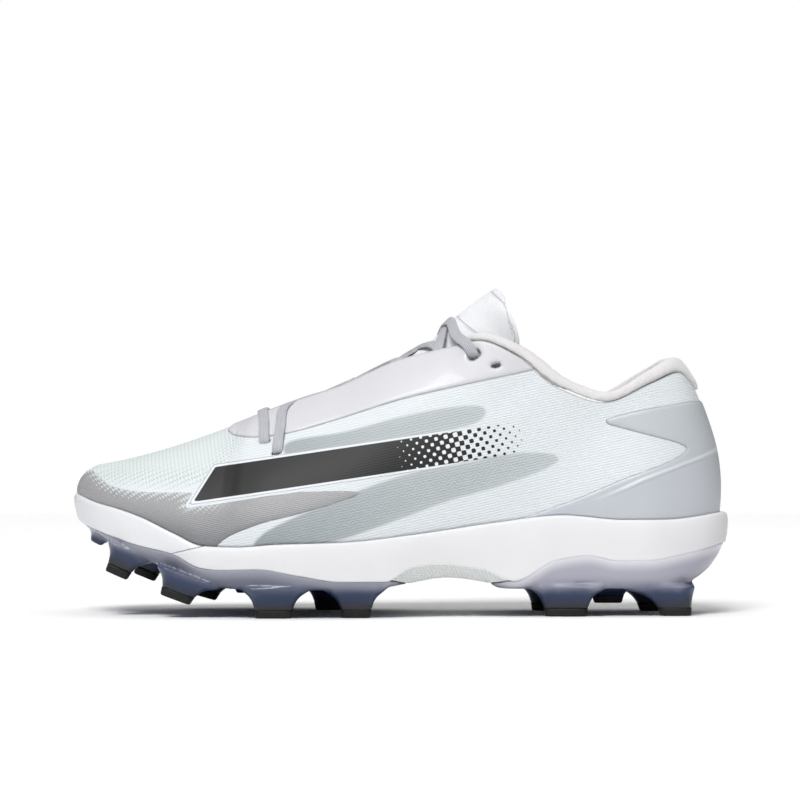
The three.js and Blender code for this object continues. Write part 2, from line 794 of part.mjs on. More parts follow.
// The cup under the upper: toe wrap and midsole are cut from it along their seam.
const widestStep = Math.max(...sideProfile.map((row) => row.step));
const rimInset = widestStep * soleStep + upperWall + rimMargin;
const bedInset = rimInset + bedMargin;
function soleCup() {
  const rim = (x) => lineLevel(featherLine, x) - clearance;
  const floor = (x) => lineLevel(plateTopLine, x) + clearance;
  const between = (share) => (x) => floor(x) + share * (rim(x) - floor(x));
  return ringSolid([
    { inset: coreInset, level: floor },
    { inset: cupFloorInset, level: floor },
    ...cupSide.map(({ share, inset }) => ({ inset, level: between(share) })),
    { inset: cupRimInset, level: rim },
    { inset: rimInset, level: rim },
    { inset: bedInset, level: (x) => lineLevel(footbedLine, x) },
  ]);
}
const cupForm = toSolid(soleCup());

function seamPrism(shift) {
  const seam = toeWrapSeam.map((row) => ({ along: row.along, up: row.up + shift / soleStack }));
  const top = seam[seam.length - 1];
  const above = [top, seam[0]].map((row) => ({ along: row.along, up: wellOver }));
  return sidePrism([...seam, ...above], soleLevel);
}
function toeWrap() {
  return fromSolid(cupForm.intersect(toSolid(seamPrism(clearance / 2))));
}
function midsole() {
  return fromSolid(cupForm.subtract(toSolid(seamPrism(-clearance / 2))));
}

// The plate under the sole, cut into the forefoot plate, the arch insert and the heel
// plate.
function soleplate() {
  const top = (x) => lineLevel(plateTopLine, x);
  const tread = (x) => lineLevel(treadLine, x);
  const between = (share) => (x) => tread(x) + share * (top(x) - tread(x));
  return ringSolid([
    ...plateSide.map(({ share, inset }) => ({ inset, level: between(share) })),
    { inset: plateTopInset, level: top },
    { inset: coreInset, level: top },
  ]);
}
const plateForm = toSolid(soleplate());

function grownArch() {
  const grown = archInsertOutline.map((row) => {
    const side = row.along < archMiddle ? -1 : 1;
    return {
      along: row.along + (side * clearance) / shoeLength,
      up: row.up - (row.up < archCeiling ? clearance / soleStack : 0),
    };
  });
  return toSolid(sidePrism(grown, soleLevel));
}
function archInsert() {
  return fromSolid(plateForm.intersect(toSolid(sidePrism(archInsertOutline, soleLevel))));
}

// The room for the studs: below the top of the plate and inside the sole's edge.
const studRoom = toSolid(ringSolid([
  { inset: studRoomInset, level: () => -studHeight },
  { inset: studRoomInset, level: (x) => lineLevel(plateTopLine, x) - clearance },
]));

// One stud as closed rings, standing on its tip at the origin, between two levels.
function studLevels(height, from, to) {
  const apart = 0.5;
  const between = studSpread
    .map(({ at }) => at * height)
    .filter((level) => level > from + apart && level < to - apart);
  return [from, ...between, to];
}
function studRing(row, level) {
  const spread = studFlare * smooth(studSpread, 'spread', level / (row.high * studHeight));
  const halfWide = row.wide * (studTipWidth / 2 + studSideFlare * spread);
  const cornered = (value) => Math.sign(value) * Math.abs(value) ** studCornering;
  const points = [];
  for (let i = 0; i < studSides; i += 1) {
    const angle = ((i + 0.5) / studSides) * 2 * Math.PI;
    const reach = spread * (Math.cos(angle) < 0 ? row.ahead : row.behind);
    const halfLong = (row.long * studTipLength) / 2 + reach;
    const x = cornered(Math.cos(angle)) * halfLong;
    const y = cornered(Math.sin(angle)) * halfWide;
    points.push(new THREE.Vector3(x, y, level));
  }
  return points;
}
function studRings(row, from, to) {
  const skin = new Skin();
  const levels = studLevels(row.high * studHeight, from, to);
  sweep(skin, levels.map((level) => studRing(row, level)));
  return skin.geometry();
}

// A stud is set square to the underside where it stands.
function placeStud(geometry, row) {
  const x = row.along * shoeLength;
  const root = lineLevel(treadLine, x);
  const reach = 4;
  const rise = lineLevel(treadLine, x + reach) - lineLevel(treadLine, x - reach);
  const tilt = x > springStart * shoeLength ? 0 : Math.atan2(rise, 2 * reach);
  geometry.translate(0, 0, -row.high * studHeight);
  geometry.rotateY(-tilt);
  geometry.translate(x, row.across * ballWidth, root);
  return geometry;
}
function hasTip(row) {
  return row.high * studHeight > leastTipShare * studTipHeight;
}
function studBody(row) {
  const height = row.high * studHeight;
  const from = hasTip(row) ? studTipHeight + clearance : 0;
  return toSolid(placeStud(studRings(row, from, height + studSunk), row)).intersect(studRoom);
}
function studTip(row) {
  return placeStud(studRings(row, 0, studTipHeight), row);
}

function plateWithStuds(isMine) {
  const middle = waist * shoeLength;
  const cutter = new THREE.BoxGeometry(shoeLength, 2 * ballWidth, shoeLength);
  const shift = isMine === 'heel' ? middle - shoeLength / 2 : middle + shoeLength / 2;
  cutter.translate(shift, 0, 0);
  let plate = plateForm.subtract(toSolid(cutter)).subtract(grownArch());
  for (const row of studs) {
    const atHeel = row.along * shoeLength > middle;
    if (atHeel === (isMine === 'heel')) plate = plate.add(studBody(row));
  }
  return fromSolid(plate);
}

// The insole lies in the cup.
function insole() {
  const bed = (x) => lineLevel(footbedLine, x) + clearance;
  const edge = bedInset + 2 * clearance;
  return ringSolid([
    { inset: edge, level: bed },
    { inset: edge, level: (x) => bed(x) + insoleThickness },
  ]);
}

// The collar's roll, a sweep along the top line from one end of the collar to the other.
function rollRing(side, share) {
  const top = topPoint(side, share);
  const outward = featherPoint(side, share).sub(top).setZ(0).normalize();
  const rise = collarThickness * smooth(collarRoll, 'rise', share, true);
  const lean = collarThickness * smooth(collarRoll, 'lean', share, true);
  const square = squareToTopLine(share);
  const spine = square.clone().multiplyScalar(rise).addScaledVector(outward, -lean);
  const halfThick = collarThickness / 2;
  const centre = top.clone().addScaledVector(outward, overlayWall - halfThick);
  centre.addScaledVector(square, collarGap).addScaledVector(spine, 0.5);
  const blunt = (value) => Math.sign(value) * Math.abs(value) ** rollBluntness;
  const ring = [];
  for (let k = 0; k < rollSides; k += 1) {
    const angle = ((k + 0.5) / rollSides) * 2 * Math.PI;
    const point = centre.clone().addScaledVector(outward, halfThick * blunt(Math.cos(angle)));
    ring.push(point.addScaledVector(spine, 0.5 * blunt(Math.sin(angle))));
  }
  return ring;
}
function collar() {
  const rings = [];
  const steps = Math.round(stationsPerSide / 2);
  for (let i = -steps; i <= steps; i += 1) {
    const side = i < 0 ? 'outer' : 'inner';
    rings.push(rollRing(side, (Math.abs(i) / steps) * frontOfCollar));
  }
  const skin = new Skin();
  sweep(skin, rings);
  return skin.geometry();
}

// Upward and square to the top line where it runs uphill or downhill, seen from the side.
function squareToTopLine(share) {
  const reach = 0.012;
  const from = topPoint('outer', Math.max(share - reach, 0));
  const to = topPoint('outer', share + reach);
  const run = Math.hypot(to.x - from.x, to.y - from.y);
  const slope = share < reach ? 0 : (to.z - from.z) / run;
  const back = from.sub(to).setZ(0).normalize();
  return back.multiplyScalar(slope).setZ(1).normalize();
}

// Rings joined side by side to a tube, and the tube closed by a fan at each end.
function tube(skin, rings) {
  const sides = rings[0].length;
  for (let i = 0; i < rings.length - 1; i += 1) {
    for (let k = 0; k < sides; k += 1) {
      const next = (k + 1) % sides;
      skin.quad(rings[i][k], rings[i][next], rings[i + 1][next], rings[i + 1][k]);
    }
  }
}
function sweep(skin, rings) {
  tube(skin, rings);
  const end = rings[rings.length - 1];
  for (let k = 1; k < end.length - 1; k += 1) {
    skin.triangle(rings[0][0], rings[0][k + 1], rings[0][k]);
    skin.triangle(end[0], end[k], end[k + 1]);
  }
}

// The middle of the throat over its two edges, raised as the tongue is.
function throatMiddle(share) {
  const outer = topPoint('outer', share);
  const inner = topPoint('inner', share);
  const middle = outer.clone().add(inner).multiplyScalar(0.5);
  middle.z += throatHalf * ballWidth * smooth(tongueCrown, 'rise', share);
  return middle;
}

// The tongue's face across the throat, under the upper by the clearance.
function tongueAcross(share) {
  const under = -upperWall - clearance * smooth(tongueCrown, 'room', share);
  const points = [
    offsetPoint('outer', share, tongueLap, under),
    offsetPoint('outer', share, throatLap, under),
    throatMiddle(share),
    offsetPoint('inner', share, throatLap, under),
    offsetPoint('inner', share, tongueLap, under),
  ];
  return new THREE.CatmullRomCurve3(points, false, 'centripetal').getPoints(tongueSteps);
}
function tongueFree(row) {
  const points = [];
  for (let k = 0; k <= tongueSteps; k += 1) {
    const across = (2 * k) / tongueSteps - 1;
    const bend = across * across;
    const aside = Math.sin(across * tongueWrap) / Math.sin(tongueWrap);
    points.push(new THREE.Vector3(
      THREE.MathUtils.lerp(row.middleAlong, row.edgeAlong, bend) * shoeLength,
      (tongueCentre + row.half * aside) * ballWidth,
      upperLevel(THREE.MathUtils.lerp(row.middleUp, row.edgeUp, bend)),
    ));
  }
  return points;
}
function tongueBack(rows, i) {
  const { face, pad } = rows[i];
  const next = rows[Math.min(i + 1, rows.length - 1)].face;
  const previous = rows[Math.max(i - 1, 0)].face;
  return face.map((point, k) => {
    const right = face[Math.min(k + 1, tongueSteps)];
    const left = face[Math.max(k - 1, 0)];
    const lengthwise = next[k].clone().sub(previous[k]);
    const normal = right.clone().sub(left).cross(lengthwise).normalize();
    const edge = Math.abs((2 * k) / tongueSteps - 1);
    const thick = tongueThickness * pad * (1 - edgeThinning * edge ** edgeThinningPower);
    return point.clone().addScaledVector(normal, thick);
  });
}
function tongue() {
  const rows = throatShares.map((share) => ({
    face: tongueAcross(share),
    pad: smooth(tongueCrown, 'pad', share),
  }));
  for (const row of tongueTop) rows.push({ face: tongueFree(row), pad: row.pad });
  const skin = new Skin();
  sweepOpen(skin, rows.map(({ face }, i) => [...face, ...tongueBack(rows, i).reverse()]));
  return skin.geometry();
}

// A tube whose ends are closed by strips between its two faces.
function sweepOpen(skin, rings) {
  tube(skin, rings);
  const sides = rings[0].length;
  const cap = (ring, turned) => {
    for (let k = 0; k < sides / 2 - 1; k += 1) {
      const [a, b, c, d] = [ring[k], ring[k + 1], ring[sides - 2 - k], ring[sides - 1 - k]];
      if (turned) skin.quad(a, b, c, d);
      else skin.quad(d, c, b, a);
    }
  };
  cap(rings[0], false);
  cap(rings[rings.length - 1], true);
}

// The lace's surface over eyestay and tongue: share runs along the throat, and across
// from the outer eyelets (0) to the inner ones (1).
function lacePlace(share, across) {
  const lift = laceLift + overlayWall + laceThickness / 2;
  const middle = throatMiddle(share);
  middle.z += lift;
  const curve = new THREE.CatmullRomCurve3([
    offsetPoint('outer', share, eyeletDown, lift),
    offsetPoint('outer', share, 1, lift),
    middle,
    offsetPoint('inner', share, 1, lift),
    offsetPoint('inner', share, eyeletDown, lift),
  ], false, 'centripetal');
  return curve.getPoint(across);
}
function laceStrip(fromShare, toShare, turned) {
  const rings = [];
  for (let i = 0; i <= laceSteps; i += 1) {
    const t = i / laceSteps;
    const share = THREE.MathUtils.lerp(fromShare, toShare, turned ? 1 - t : t);
    const place = lacePlace(share, t);
    const step = 0.01;
    const slide = (toShare - fromShare) * step * (turned ? -1 : 1);
    const before = lacePlace(share - slide, Math.max(t - step, 0));
    const after = lacePlace(share + slide, Math.min(t + step, 1));
    const along = after.sub(before).normalize();
    const lengthwise = lacePlace(share - step, t).sub(lacePlace(share + step, t));
    const normal = along.clone().cross(lengthwise).normalize();
    if (normal.z < 0) normal.negate();
    const wide = normal.clone().cross(along).multiplyScalar(laceWidth / 2);
    const thick = normal.multiplyScalar(laceThickness / 2);
    rings.push([
      place.clone().add(wide).add(thick),
      place.clone().sub(wide).add(thick),
      place.clone().sub(wide).sub(thick),
      place.clone().add(wide).sub(thick),
    ]);
  }
  const skin = new Skin();
  sweep(skin, rings);
  return toSolid(skin.geometry());
}
function laces() {
  let joined = laceStrip(eyeletShares[0], eyeletShares[0], false);
  for (let i = 0; i < eyeletShares.length - 1; i += 1) {
    joined = joined.add(laceStrip(eyeletShares[i], eyeletShares[i + 1], false));
    joined = joined.add(laceStrip(eyeletShares[i], eyeletShares[i + 1], true));
  }
  return fromSolid(joined);
}

addPiece('upper', upper(), finishes.knit);
addPiece('eyestay', overlay(eyestayOutline), finishes.eyestay);
addPiece('heel_counter', overlay(heelCounterOutline), finishes.heelCounter);
addPiece('toe_guard', overlay(toeGuardOutline), finishes.toeGuard);
addPiece('collar', collar(), finishes.collar);
addPiece('tongue', tongue(), finishes.tongue);
addPiece('laces', laces(), finishes.lace);
addPiece('insole', insole(), finishes.insole);
addPiece('toe_wrap', toeWrap(), finishes.toeWrap);
addPiece('midsole', midsole(), finishes.midsole);
addPiece('arch_insert', archInsert(), finishes.archInsert);
addPiece('forefoot_plate', plateWithStuds('forefoot'), finishes.plate);
addPiece('heel_plate', plateWithStuds('heel'), finishes.plate);
for (const row of studs.filter(hasTip)) {
  addPiece(`stud_tip_${row.name}`, studTip(row), finishes.studTip);
}

// The origin is on the ground under the middle of the shoe.
group.updateMatrixWorld(true);
const bounds = new THREE.Box3().setFromObject(group);
const middle = bounds.getCenter(new THREE.Vector3());
group.position.set(-middle.x, -middle.y, -bounds.min.z);
group.updateMatrixWorld(true);

export default group;
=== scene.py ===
# %% [markdown]
# # A moulded baseball cleat, left shoe
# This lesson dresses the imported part. The solids give sizes and places. Every visible
# piece is made again here, finer, and gets its own procedural material.

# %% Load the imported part
import math
from collections import namedtuple

import bpy
import numpy as np
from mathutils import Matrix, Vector
from mathutils.kdtree import KDTree


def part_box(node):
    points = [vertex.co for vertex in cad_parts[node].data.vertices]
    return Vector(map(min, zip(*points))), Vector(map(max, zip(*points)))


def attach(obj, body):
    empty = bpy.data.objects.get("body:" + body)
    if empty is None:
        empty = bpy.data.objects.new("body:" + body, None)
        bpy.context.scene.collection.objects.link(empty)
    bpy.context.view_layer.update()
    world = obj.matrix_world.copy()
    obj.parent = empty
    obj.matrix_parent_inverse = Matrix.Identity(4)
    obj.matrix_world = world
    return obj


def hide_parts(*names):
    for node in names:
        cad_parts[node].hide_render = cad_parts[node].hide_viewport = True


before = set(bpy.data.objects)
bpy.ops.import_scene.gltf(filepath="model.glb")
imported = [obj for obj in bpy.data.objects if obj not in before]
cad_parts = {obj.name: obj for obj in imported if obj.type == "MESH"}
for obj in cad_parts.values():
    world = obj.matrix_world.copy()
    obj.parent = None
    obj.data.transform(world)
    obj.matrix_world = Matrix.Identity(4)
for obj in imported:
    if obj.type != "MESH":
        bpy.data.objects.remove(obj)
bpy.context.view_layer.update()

# %% [markdown]
# ## The shoe's own sizes
# A shoe is built on a last, a form of the foot. Its lines are kept here as small tables
# in the shoe's own shares: along is a share of the length, across of the ball's width,
# up of a height. They are the tables of the part's source, so both models share a form.
# All lengths are in millimetres until a mesh is written.

# %% Main sizes
MM = 0.001
LENGTH = 300.0
BALL_WIDTH = 107.0
STUD_HEIGHT = 12.6
SOLE_STACK = 34.0
UPPER_HEIGHT = 63.4
UPPER_WALL = 1.8
OVERLAY_WALL = 0.8
CLEARANCE = 0.3
SOLE_STEP = 3.0
PLATE_TUCK = 8.0
# Least values, so that nothing is divided by zero, and a distance beyond every other.
LEAST = 1e-9
LEAST_SPAN = 1e-4
LEAST_RUN = 1e-6
FARTHEST = 1e9


def table(columns, rows):
    """Columns of numbers, by their names."""
    return dict(zip(columns.split(), np.array(rows, dtype=float).T))


# %% Lines of the sole
SOLE_EDGE = table("along across", [
    (0.5, 0), (0.47, -0.206), (0.393, -0.341), (0.283, -0.364), (0.117, -0.393),
    (0, -0.458), (-0.14, -0.519), (-0.283, -0.467), (-0.407, -0.318), (-0.473, -0.131),
    (-0.5, 0.075), (-0.483, 0.224), (-0.417, 0.364), (-0.317, 0.449), (-0.207, 0.477),
    (-0.05, 0.374), (0.1, 0.29), (0.267, 0.322), (0.383, 0.332), (0.47, 0.196),
])
TOE_TIP_ROW = 10
FEATHER_LINE = table("at up", [
    (-0.494, 1.247), (-0.459, 1.138), (-0.428, 1.071), (-0.39, 0.962), (-0.337, 0.747),
    (-0.294, 0.59), (-0.245, 0.574), (-0.184, 0.612), (-0.077, 0.641), (0.03, 0.747),
    (0.152, 0.897), (0.244, 0.985), (0.335, 0.924), (0.396, 0.924), (0.488, 1.003),
])
PLATE_TOP_LINE = table("at up", [
    (-0.497, 0.991), (-0.489, 0.882), (-0.459, 0.774), (-0.398, 0.6), (-0.34, 0.479),
    (-0.298, 0.303), (-0.268, 0.276), (-0.211, 0.288), (-0.153, 0.209), (-0.085, 0.126),
    (-0.021, 0.126), (0.016, 0.303), (0.053, 0.344), (0.121, 0.276), (0.17, 0.126),
    (0.236, 0.397), (0.282, 0.45), (0.327, 0.382), (0.366, 0.382), (0.427, 0.465),
    (0.488, 0.6),
])
TREAD_LINE = table("at up", [
    (-0.5, 0.924), (-0.482, 0.815), (-0.454, 0.679), (-0.417, 0.512), (-0.373, 0.35),
    (-0.333, 0.203), (-0.293, 0.085), (-0.25, 0.012), (-0.2, 0), (-0.05, 0),
    (0.015, 0.088), (0.067, 0.156), (0.129, 0.088), (0.15, 0.009), (0.183, 0),
    (0.417, 0), (0.445, 0.115), (0.465, 0.224), (0.48, 0.329), (0.5, 0.68),
])
FOOTBED_LINE = table("at up", [
    (-0.467, 0.982), (-0.417, 0.806), (-0.367, 0.674), (-0.317, 0.5), (-0.267, 0.394),
    (-0.167, 0.374), (-0.05, 0.409), (0.05, 0.526), (0.15, 0.571), (0.25, 0.644),
    (0.367, 0.674), (0.45, 0.718),
])

# %% Lines of the upper
FRONT_OF_THROAT = 0.72
FRONT_OF_COLLAR = 0.43
TOP_LINE = table("at along centre half up", [
    (0, 0.451, 0, 0, 0.869), (0.05, 0.4417, 0, 0.103, 0.918), (0.1, 0.42, 0, 0.182, 1),
    (0.16, 0.377, 0, 0.248, 0.921), (0.23, 0.307, 0, 0.285, 0.789),
    (0.3, 0.237, 0, 0.294, 0.89), (0.355, 0.17, 0.002, 0.28, 1.129),
    (0.395, 0.12, 0.006, 0.252, 1.221), (0.43, 0.08, 0.01, 0.215, 1.181),
    (0.5, 0, 0.023, 0.168, 1.087), (0.58, -0.092, 0.037, 0.14, 0.897),
    (0.66, -0.177, 0.047, 0.103, 0.763), (0.7, -0.22, 0.051, 0.06, 0.685),
    (0.72, -0.237, 0.053, 0, 0.653), (0.8, -0.307, 0.061, 0, 0.532),
    (0.88, -0.377, 0.07, 0, 0.426), (0.95, -0.43, 0.075, 0, 0.364),
    (1, -0.457, 0.075, 0, 0.342),
])
SIDE_PROFILE = table("at lift lean reach fall step", [
    (0, 0.42, 6, 0.34, 67, 1.5), (0.1, 0.4, 6, 0.33, 74, 1.3), (0.23, 0.35, 8, 0.3, 85, 1),
    (0.3, 0.35, 8, 0.3, 82, 1), (0.395, 0.35, 10, 0.3, 70, 1), (0.43, 0.33, 10, 0.33, 58, 1),
    (0.5, 0.3, 10, 0.36, 42, 1), (0.58, 0.3, 10, 0.4, 35, 1), (0.66, 0.32, 12, 0.42, 25, 1),
    (0.72, 0.34, 12, 0.42, 8, 1), (0.8, 0.36, 14, 0.42, 0, 1), (0.88, 0.42, 14, 0.42, 0, 0.9),
    (1, 0.4, 8, 0.36, 0, 0.6),
])
COLLAR_ROLL = table("at rise lean", [
    (0, 2.1, 1.35), (0.05, 1.75, 1.05), (0.1, 1.08, 0.45), (0.16, 0.9, 0.2),
    (0.23, 0.72, 0.2), (0.3, 0.66, 0.18), (0.43, 0.66, 0.15),
])
TONGUE_CROWN = table("at rise pad room", [
    (0.46, 0.3, 0.9, 3), (0.5, 0.0, 0.8, 3), (0.58, -0.12, 0.6, 3), (0.66, -0.15, 0.5, 3),
    (0.7, -0.25, 0.45, 6), (0.74, -0.38, 0.4, 9),
])
TONGUE_TOP = table("middle_along middle_up edge_along edge_up half pad", [
    (0.057, 1.265, 0.12, 0.905, 0.206, 1), (0.073, 1.345, 0.157, 1.032, 0.21, 1),
    (0.1, 1.455, 0.177, 1.189, 0.21, 1), (0.127, 1.552, 0.17, 1.371, 0.229, 0.9),
    (0.1457, 1.614, 0.158, 1.512, 0.196, 0.55),
])


# %% [markdown]
# ## Smooth lines from few points
# A curve that passes its points without overshoot keeps a shoe's lines fair. Between two
# rows of a table the value follows a cubic whose slopes are the harmonic mean of the
# slopes on either side. Closed outlines use a centripetal Catmull-Rom curve instead.

# %% Smooth values and curves
def smooth(rows, column, at, level_start=False):
    """The smooth value of a table's column at one or many places."""
    x, y = rows["at"], rows[column]
    secant = np.diff(y) / np.diff(x)
    before, after = secant[:-1], secant[1:]
    total = np.where(before + after == 0, 1, before + after)
    slope = np.empty_like(y)
    slope[0] = 0 if level_start else secant[0]
    slope[-1] = secant[-1]
    slope[1:-1] = np.where(before * after > 0, 2 * before * after / total, 0)
    at = np.clip(at, x[0], x[-1])
    row = np.clip(np.searchsorted(x, at, side="right") - 1, 0, len(x) - 2)
    span = x[row + 1] - x[row]
    t = (at - x[row]) / span
    start = (2 * t**3 - 3 * t**2 + 1) * y[row] + (t**3 - 2 * t**2 + t) * span * slope[row]
    end = (3 * t**2 - 2 * t**3) * y[row + 1] + (t**3 - t**2) * span * slope[row + 1]
    return start + end


def spline(points, closed=False, steps=24):
    """Places on a curve through points, the same number of steps in every span."""
    points = np.asarray(points, dtype=float)
    count = len(points)
    t = (np.arange(steps) / steps).reshape(-1, *[1] * (points.ndim - 1))
    ends = (2 * points[:1] - points[1:2], 2 * points[-1:] - points[-2:-1])
    if closed:
        ends = (points[-1:], points[:2])
    row = np.concatenate([ends[0], points, ends[1]])
    places = []
    for i in range(count if closed else count - 1):
        a, b, c, d = row[i:i + 4]
        first, second, third = (
            np.maximum(np.linalg.norm(q - p, axis=-1, keepdims=True), LEAST_SPAN) ** 0.5
            for p, q in ((a, b), (b, c), (c, d)))
        leave = ((b - a) / first - (c - a) / (first + second) + (c - b) / second) * second
        arrive = ((c - b) / second - (d - b) / (second + third) + (d - c) / third) * second
        bend = 3 * (c - b) - 2 * leave - arrive
        places.append(b + leave * t + bend * t**2 + (2 * (b - c) + leave + arrive) * t**3)
    places.append(points[:1] if closed else points[-1:])
    return np.concatenate(places)


def unit(vectors):
    return vectors / np.maximum(np.linalg.norm(vectors, axis=-1, keepdims=True), LEAST)


def sole_level(share):
    return STUD_HEIGHT + share * SOLE_STACK


def upper_level(share):
    return STUD_HEIGHT + SOLE_STACK + share * UPPER_HEIGHT


def line_level(line, x):
    return sole_level(smooth(line, "up", x / LENGTH))


# %% [markdown]
# ## The last
# A place on the shoe's side is told by two numbers, as on a map. The loop runs from the
# back of the heel (0) round the outer side to the toe (1), and back along the inner side
# to the heel (2). The rise runs from the feather line, where the upper meets the sole
# (0), to the top line (1). The same map carries the cloth, the overlays and the lace.

# %% The sole's edge as a loop
EDGE_STEPS = 120
edge_places = spline(
    np.column_stack([SOLE_EDGE["along"] * LENGTH, SOLE_EDGE["across"] * BALL_WIDTH]),
    closed=True, steps=EDGE_STEPS)
toe_tip_place = TOE_TIP_ROW * EDGE_STEPS
edge_lengths = np.linalg.norm(np.diff(edge_places, axis=0), axis=1)
outer_run = np.concatenate([[0], np.cumsum(edge_lengths[:toe_tip_place])])
inner_run = np.cumsum(edge_lengths[toe_tip_place:])
edge_loop = np.concatenate([outer_run / outer_run[-1], 1 + inner_run / inner_run[-1]])
print("length of the sole's edge:", round(outer_run[-1] + inner_run[-1], 1), "mm")


def edge_at(loop):
    loop = np.mod(loop, 2)
    return np.stack([np.interp(loop, edge_loop, edge_places[:, k]) for k in (0, 1)], -1)


def edge_inset(loop, inset):
    """The sole's edge moved into the shoe."""
    reach = 0.006
    along = unit(edge_at(loop + reach) - edge_at(loop - reach))
    inward = np.stack([along[..., 1], -along[..., 0]], -1)
    return edge_at(loop) + inward * np.asarray(inset)[..., None]


def side_share(loop):
    """How far towards the toe a place on the loop is, on its own side."""
    return 1 - np.abs(1 - np.mod(loop, 2))


# %% Where the cloth starts and ends
def feather_place(loop):
    step = SOLE_STEP * smooth(SIDE_PROFILE, "step", side_share(loop))
    place = edge_inset(loop, step)
    level = line_level(FEATHER_LINE, place[..., 0])
    return np.concatenate([place, level[..., None]], -1)


def top_place(loop):
    share = side_share(loop)
    side = np.where(np.mod(loop, 2) < 1, -1, 1)
    half = np.where(share >= FRONT_OF_THROAT, 0, smooth(TOP_LINE, "half", share))
    across = smooth(TOP_LINE, "centre", share) + side * half
    return np.stack([
        smooth(TOP_LINE, "along", share, True) * LENGTH,
        across * BALL_WIDTH,
        upper_level(smooth(TOP_LINE, "up", share, True)),
    ], -1)


def ridge_slope(loop):
    """The slope of the vamp's ridge, so that both sides meet there without a crease."""
    share = side_share(loop)
    reach = 0.01
    start = top_place(share - reach)
    end = top_place(np.minimum(share + reach, 1))
    run = np.where(np.abs(end - start)[..., 0] < LEAST_RUN, 1, (end - start)[..., 0])
    return np.where(share > FRONT_OF_THROAT, (end - start)[..., 2] / run, 0)


# %% The outer face of the upper
def bare_place(loop, rise):
    """The last's face, a cubic curve from the feather line over to the top line."""
    loop, rise = np.broadcast_arrays(np.asarray(loop, float), np.asarray(rise, float))
    share = side_share(loop)
    feather, top = feather_place(loop), top_place(loop)
    height = top[..., 2] - feather[..., 2]
    flat = (feather - top) * (1, 1, 0)
    outward = unit(flat)
    span = np.linalg.norm(feather - top, axis=-1)
    lean = np.radians(smooth(SIDE_PROFILE, "lean", share))
    fall = np.radians(smooth(SIDE_PROFILE, "fall", share))
    lift = height * smooth(SIDE_PROFILE, "lift", share)
    reach = span * smooth(SIDE_PROFILE, "reach", share)
    up = np.array([0.0, 0.0, 1.0])
    first = feather + outward * (lift * np.sin(lean))[..., None]
    first = first + up * (lift * np.cos(lean))[..., None]
    second = top + outward * (reach * np.cos(fall))[..., None]
    drop = ridge_slope(loop) * outward[..., 0] * np.cos(fall) - np.sin(fall)
    second = second + up * (reach * drop)[..., None]
    t = rise[..., None]
    rest = 1 - t
    return rest**3 * feather + 3 * rest**2 * t * first + 3 * rest * t**2 * second + t**3 * top


def one_normal(loop, rise):
    step = 0.004
    along = bare_place(loop + step, rise) - bare_place(loop - step, rise)
    upward = bare_place(loop, np.minimum(rise + step, 1))
    upward = upward - bare_place(loop, np.maximum(rise - step, 0))
    return unit(np.cross(upward, along))


def outward_normal(loop, rise):
    loop, rise = np.broadcast_arrays(np.asarray(loop, float), np.asarray(rise, float))
    normal = one_normal(loop, rise)
    on_ridge = (rise > 0.999) & (side_share(loop) >= FRONT_OF_THROAT)
    both = unit(normal + one_normal(2 - loop, rise))
    return np.where(on_ridge[..., None], both, normal)


# %% [markdown]
# ## Creases placed one by one
# An empty shoe is not a smooth egg. The cloth sinks a little in front of the padded heel
# and where the forefoot flexes, and swells beside the eyelets. Each crease is a soft
# trough or ridge along a line on the shoe's side, with its own depth and width in
# millimetres. Cloth and overlays share them, so they stay pressed together.

# %% Creases
CREASES = table("from_x from_z to_x to_z depth width", [
    (-118, 52, -95, 72, -0.35, 6), (-84, 44, -72, 66, -0.45, 7), (-66, 44, -60, 62, 0.3, 6),
    (62, 52, 96, 92, -0.7, 12), (28, 66, 74, 104, 0.4, 11), (100, 62, 126, 66, 0.35, 9),
    (-40, 50, 30, 58, -0.5, 13), (118, 96, 134, 84, -0.45, 6), (44, 96, 60, 108, -0.4, 6),
])


def crease_height(places):
    """How far the cloth stands out or sinks in at places on the shoe."""
    height = np.zeros(places.shape[:-1])
    flat = places[..., (0, 2)]
    for start_x, start_z, end_x, end_z, depth, width in zip(*CREASES.values()):
        start, run = np.array([start_x, start_z]), np.array([end_x - start_x, end_z - start_z])
        t = np.clip(((flat - start) @ run) / (run @ run), 0, 1)
        away = np.linalg.norm(flat - start - t[..., None] * run, axis=-1)
        height += depth * np.exp(-((away / width) ** 2))
    return height


def on_last(loop, rise, lift):
    """A place over the cloth's outer face, lifted off it by some millimetres."""
    place = bare_place(loop, rise)
    normal = outward_normal(loop, rise)
    level = place[..., 2].copy()
    offset = np.asarray(lift) + crease_height(place)
    place = place + normal * np.asarray(offset)[..., None]
    bottom = np.broadcast_to(np.asarray(rise), level.shape) <= 0
    place[..., 2] = np.where(bottom, level, place[..., 2])
    return place


# %% Lengths along the cloth
MAP_COLUMNS = 400
MAP_ROWS = 40
MAP_LOOP = np.linspace(0, 2, MAP_COLUMNS + 1)
MAP_RISE = np.linspace(0, 1, MAP_ROWS + 1)
map_places = bare_place(MAP_LOOP[:, None], MAP_RISE[None, :])
map_steps = np.linalg.norm(np.diff(map_places, axis=1), axis=-1)
map_girth = np.pad(np.cumsum(map_steps, axis=1), ((0, 0), (1, 0)))
SIDE_RUN = float(outer_run[-1] + inner_run[-1]) / 2


def girth_at(loop, rise):
    """The length of cloth from the feather line up to a place, in millimetres."""
    i = np.mod(loop, 2) * MAP_COLUMNS / 2
    j = np.clip(rise, 0, 1) * MAP_ROWS
    i0 = np.clip(i.astype(int), 0, MAP_COLUMNS - 1)
    j0 = np.clip(j.astype(int), 0, MAP_ROWS - 1)
    u, v = i - i0, j - j0
    low = map_girth[i0, j0] * (1 - u) + map_girth[i0 + 1, j0] * u
    high = map_girth[i0, j0 + 1] * (1 - u) + map_girth[i0 + 1, j0 + 1] * u
    return low * (1 - v) + high * v


